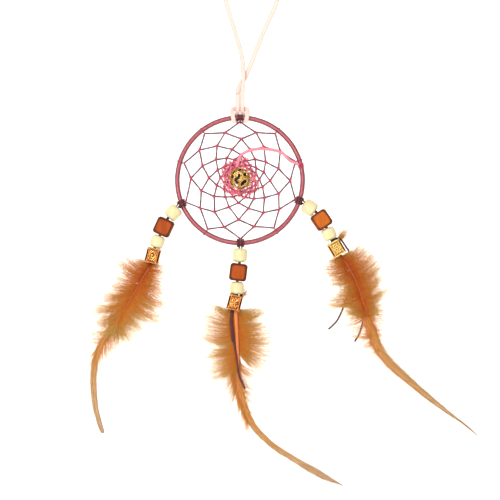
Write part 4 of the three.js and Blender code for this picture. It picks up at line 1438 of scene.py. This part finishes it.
def put(piece, body, slot, *nodes):
    """Puts a finished piece on its body, in the place of the CAD nodes that it stands for."""
    if "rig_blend" not in piece:
        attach(piece, body)
    if nodes:
        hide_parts(*nodes)


def make_strand(name):
    """One strand: its cord, four beads and two feathers, each on its own body."""
    strand, shape = Strand(name), SHAPES[name]
    top, mid, low, tassel = (f"{name}_{part}" for part in ("top_cord", "mid_cord", "low_cord", "tassel"))
    bends = [
        ("upper", strand.upper, strand.cube, strand.bend, (top, mid)),
        ("middle", strand.cube, strand.lower, strand.low_bend, (mid, low)),
        ("lower", strand.lower, strand.metal, gap_above_metal(strand), (low, tassel)),
    ]
    put(make_hitch(strand), None, "waxed_cord", f"{name}_cord_hitch")
    for label, above, below, bend, pair in bends:
        put(make_bend(strand, label, above, below, bend, pair), None, "waxed_cord", f"{name}_cord_{label}")
    is_right = name == "right"
    wood_look, metal_look = ("orange", "gilt") if is_right else ("brown", "copper")
    beads = [
        ("upper", "cream_wood", barrel(strand, "upper", strand.upper, UPPER_HALF)),
        ("cube", "brown_wood", cube(strand, LOOKS[wood_look])),
        ("lower", "cream_wood", barrel(strand, "lower", strand.lower, LOWER_HALF)),
    ]
    for part, slot, bead in beads:
        put(bead, f"{name}_{part}", slot, f"{name}_{part}_bead")
    bead = metal(strand, shape["pattern"], LOOKS[metal_look])
    put(bead, tassel, "gilt_bead" if is_right else "copper", f"{name}_metal_bead")
    put(make_tails(strand, shape["tails"], is_right), tassel, "waxed_cord", f"{name}_cord_tails")
    put(make_down(strand, shape["down"]), f"{name}_down", "down", f"{name}_down_feather")
    put(make_long(strand, shape["long"]), f"{name}_long", "feather", f"{name}_long_feather")


def gap_above_metal(strand):
    """The middle of the gap between the lower bead and the metal bead."""
    above = strand.lower[0] - strand.lower[1] * LOWER_HALF
    below = strand.metal[0] + strand.metal[1] * METAL_HALF
    return (above + below) / 2


def make_object():
    ring = frame["nodes"]["hoop_ring"]
    ring.data.materials.clear()
    ring.data.materials.append(LOOKS["steel"])
    put(make_hoop_wrap(), "hoop", "wrapping_thread", "hoop_wrap")
    put(make_web(), "hoop", "web_thread", "web_thread")
    put(make_top_tie(), "hoop", "waxed_cord")
    put(make_center_bead(), "web_bead", "gilt_bead", "center_bead")
    put(make_lace(), "hanger", "suede", "hanger_lace")
    for name in SHAPES:
        make_strand(name)


# ---- stage ----

# In metres.
BACKDROP_DISTANCE = 0.42
FLOOR_DROP = 0.06
STAGE_REACH = 3
PICTURE_WIDTH = 0.345


def plain_sheet(name, corners, one_sided):
    """A pale floor or wall. A one-sided wall can't be seen from behind."""
    mesh = bpy.data.meshes.new(name)
    mesh.from_pydata(corners, [], [(0, 1, 2, 3)])
    look = Look(name, 0.9)
    look.base(color(252, 250, 247))
    look.set("Emission Color", color(255, 252, 246))
    look.set("Emission Strength", 0.3)
    if one_sided:
        back = look.nodes.new("ShaderNodeNewGeometry").outputs["Backfacing"]
        look.blend_shader(back, look.node("ShaderNodeBsdfTransparent"))
    mesh.materials.append(look.material)
    linked(name, mesh)


def soft_light(name, place, size, watts, target):
    light = bpy.data.lights.new(name, "AREA")
    light.shape = "DISK"
    light.size = size
    light.energy = watts
    lamp = linked(name, light)
    lamp.location = place
    aim = np.array(target) - np.array(place)
    lamp.rotation_mode = "QUATERNION"
    lamp.rotation_quaternion = Vector(aim).to_track_quat("-Z", "Y")


def make_stage():
    low, high = CAD_BOX
    wall, floor, reach = BACKDROP_DISTANCE, low.z - FLOOR_DROP, STAGE_REACH
    upright = [(-reach, wall, floor), (reach, wall, floor), (reach, wall, reach), (-reach, wall, reach)]
    level = [(-reach, -reach, floor), (reach, -reach, floor), (reach, reach, floor), (-reach, reach, floor)]
    plain_sheet("backdrop", upright, True)
    plain_sheet("floor", level, False)
    middle = (0, 0, (low.z + high.z) / 2)
    soft_light("key", (-0.5, -1.1, 0.5), 0.7, 15, middle)
    soft_light("fill", (0.8, -1.2, -0.1), 1.3, 3, middle)
    soft_light("back", (0.3, 1.2, 0.6), 1.2, 4, middle)
    world = bpy.data.worlds.new("studio")
    world.use_nodes = True
    sky = world.node_tree.nodes["Background"].inputs
    sky["Color"].default_value = (1.0, 0.99, 0.97, 1)
    sky["Strength"].default_value = 0.36
    bpy.context.scene.world = world
    bpy.context.scene.view_settings.view_transform = "Standard"


def make_camera():
    """Straight on and far off, framed to the right of the hoop's middle and below it."""
    camera = bpy.data.cameras.new("camera")
    camera.sensor_width = 36
    camera.lens = 100
    camera.clip_end = 20
    eye = linked("camera", camera)
    aim = (CENTER + [6.9, 0, -48.1]) * MM
    distance = PICTURE_WIDTH * camera.lens / camera.sensor_width
    eye.location = (aim[0], aim[1] - distance, aim[2])
    eye.rotation_euler = (math.pi / 2, 0, 0)
    bpy.context.scene.camera = eye


make_object()
make_stage()
make_camera()
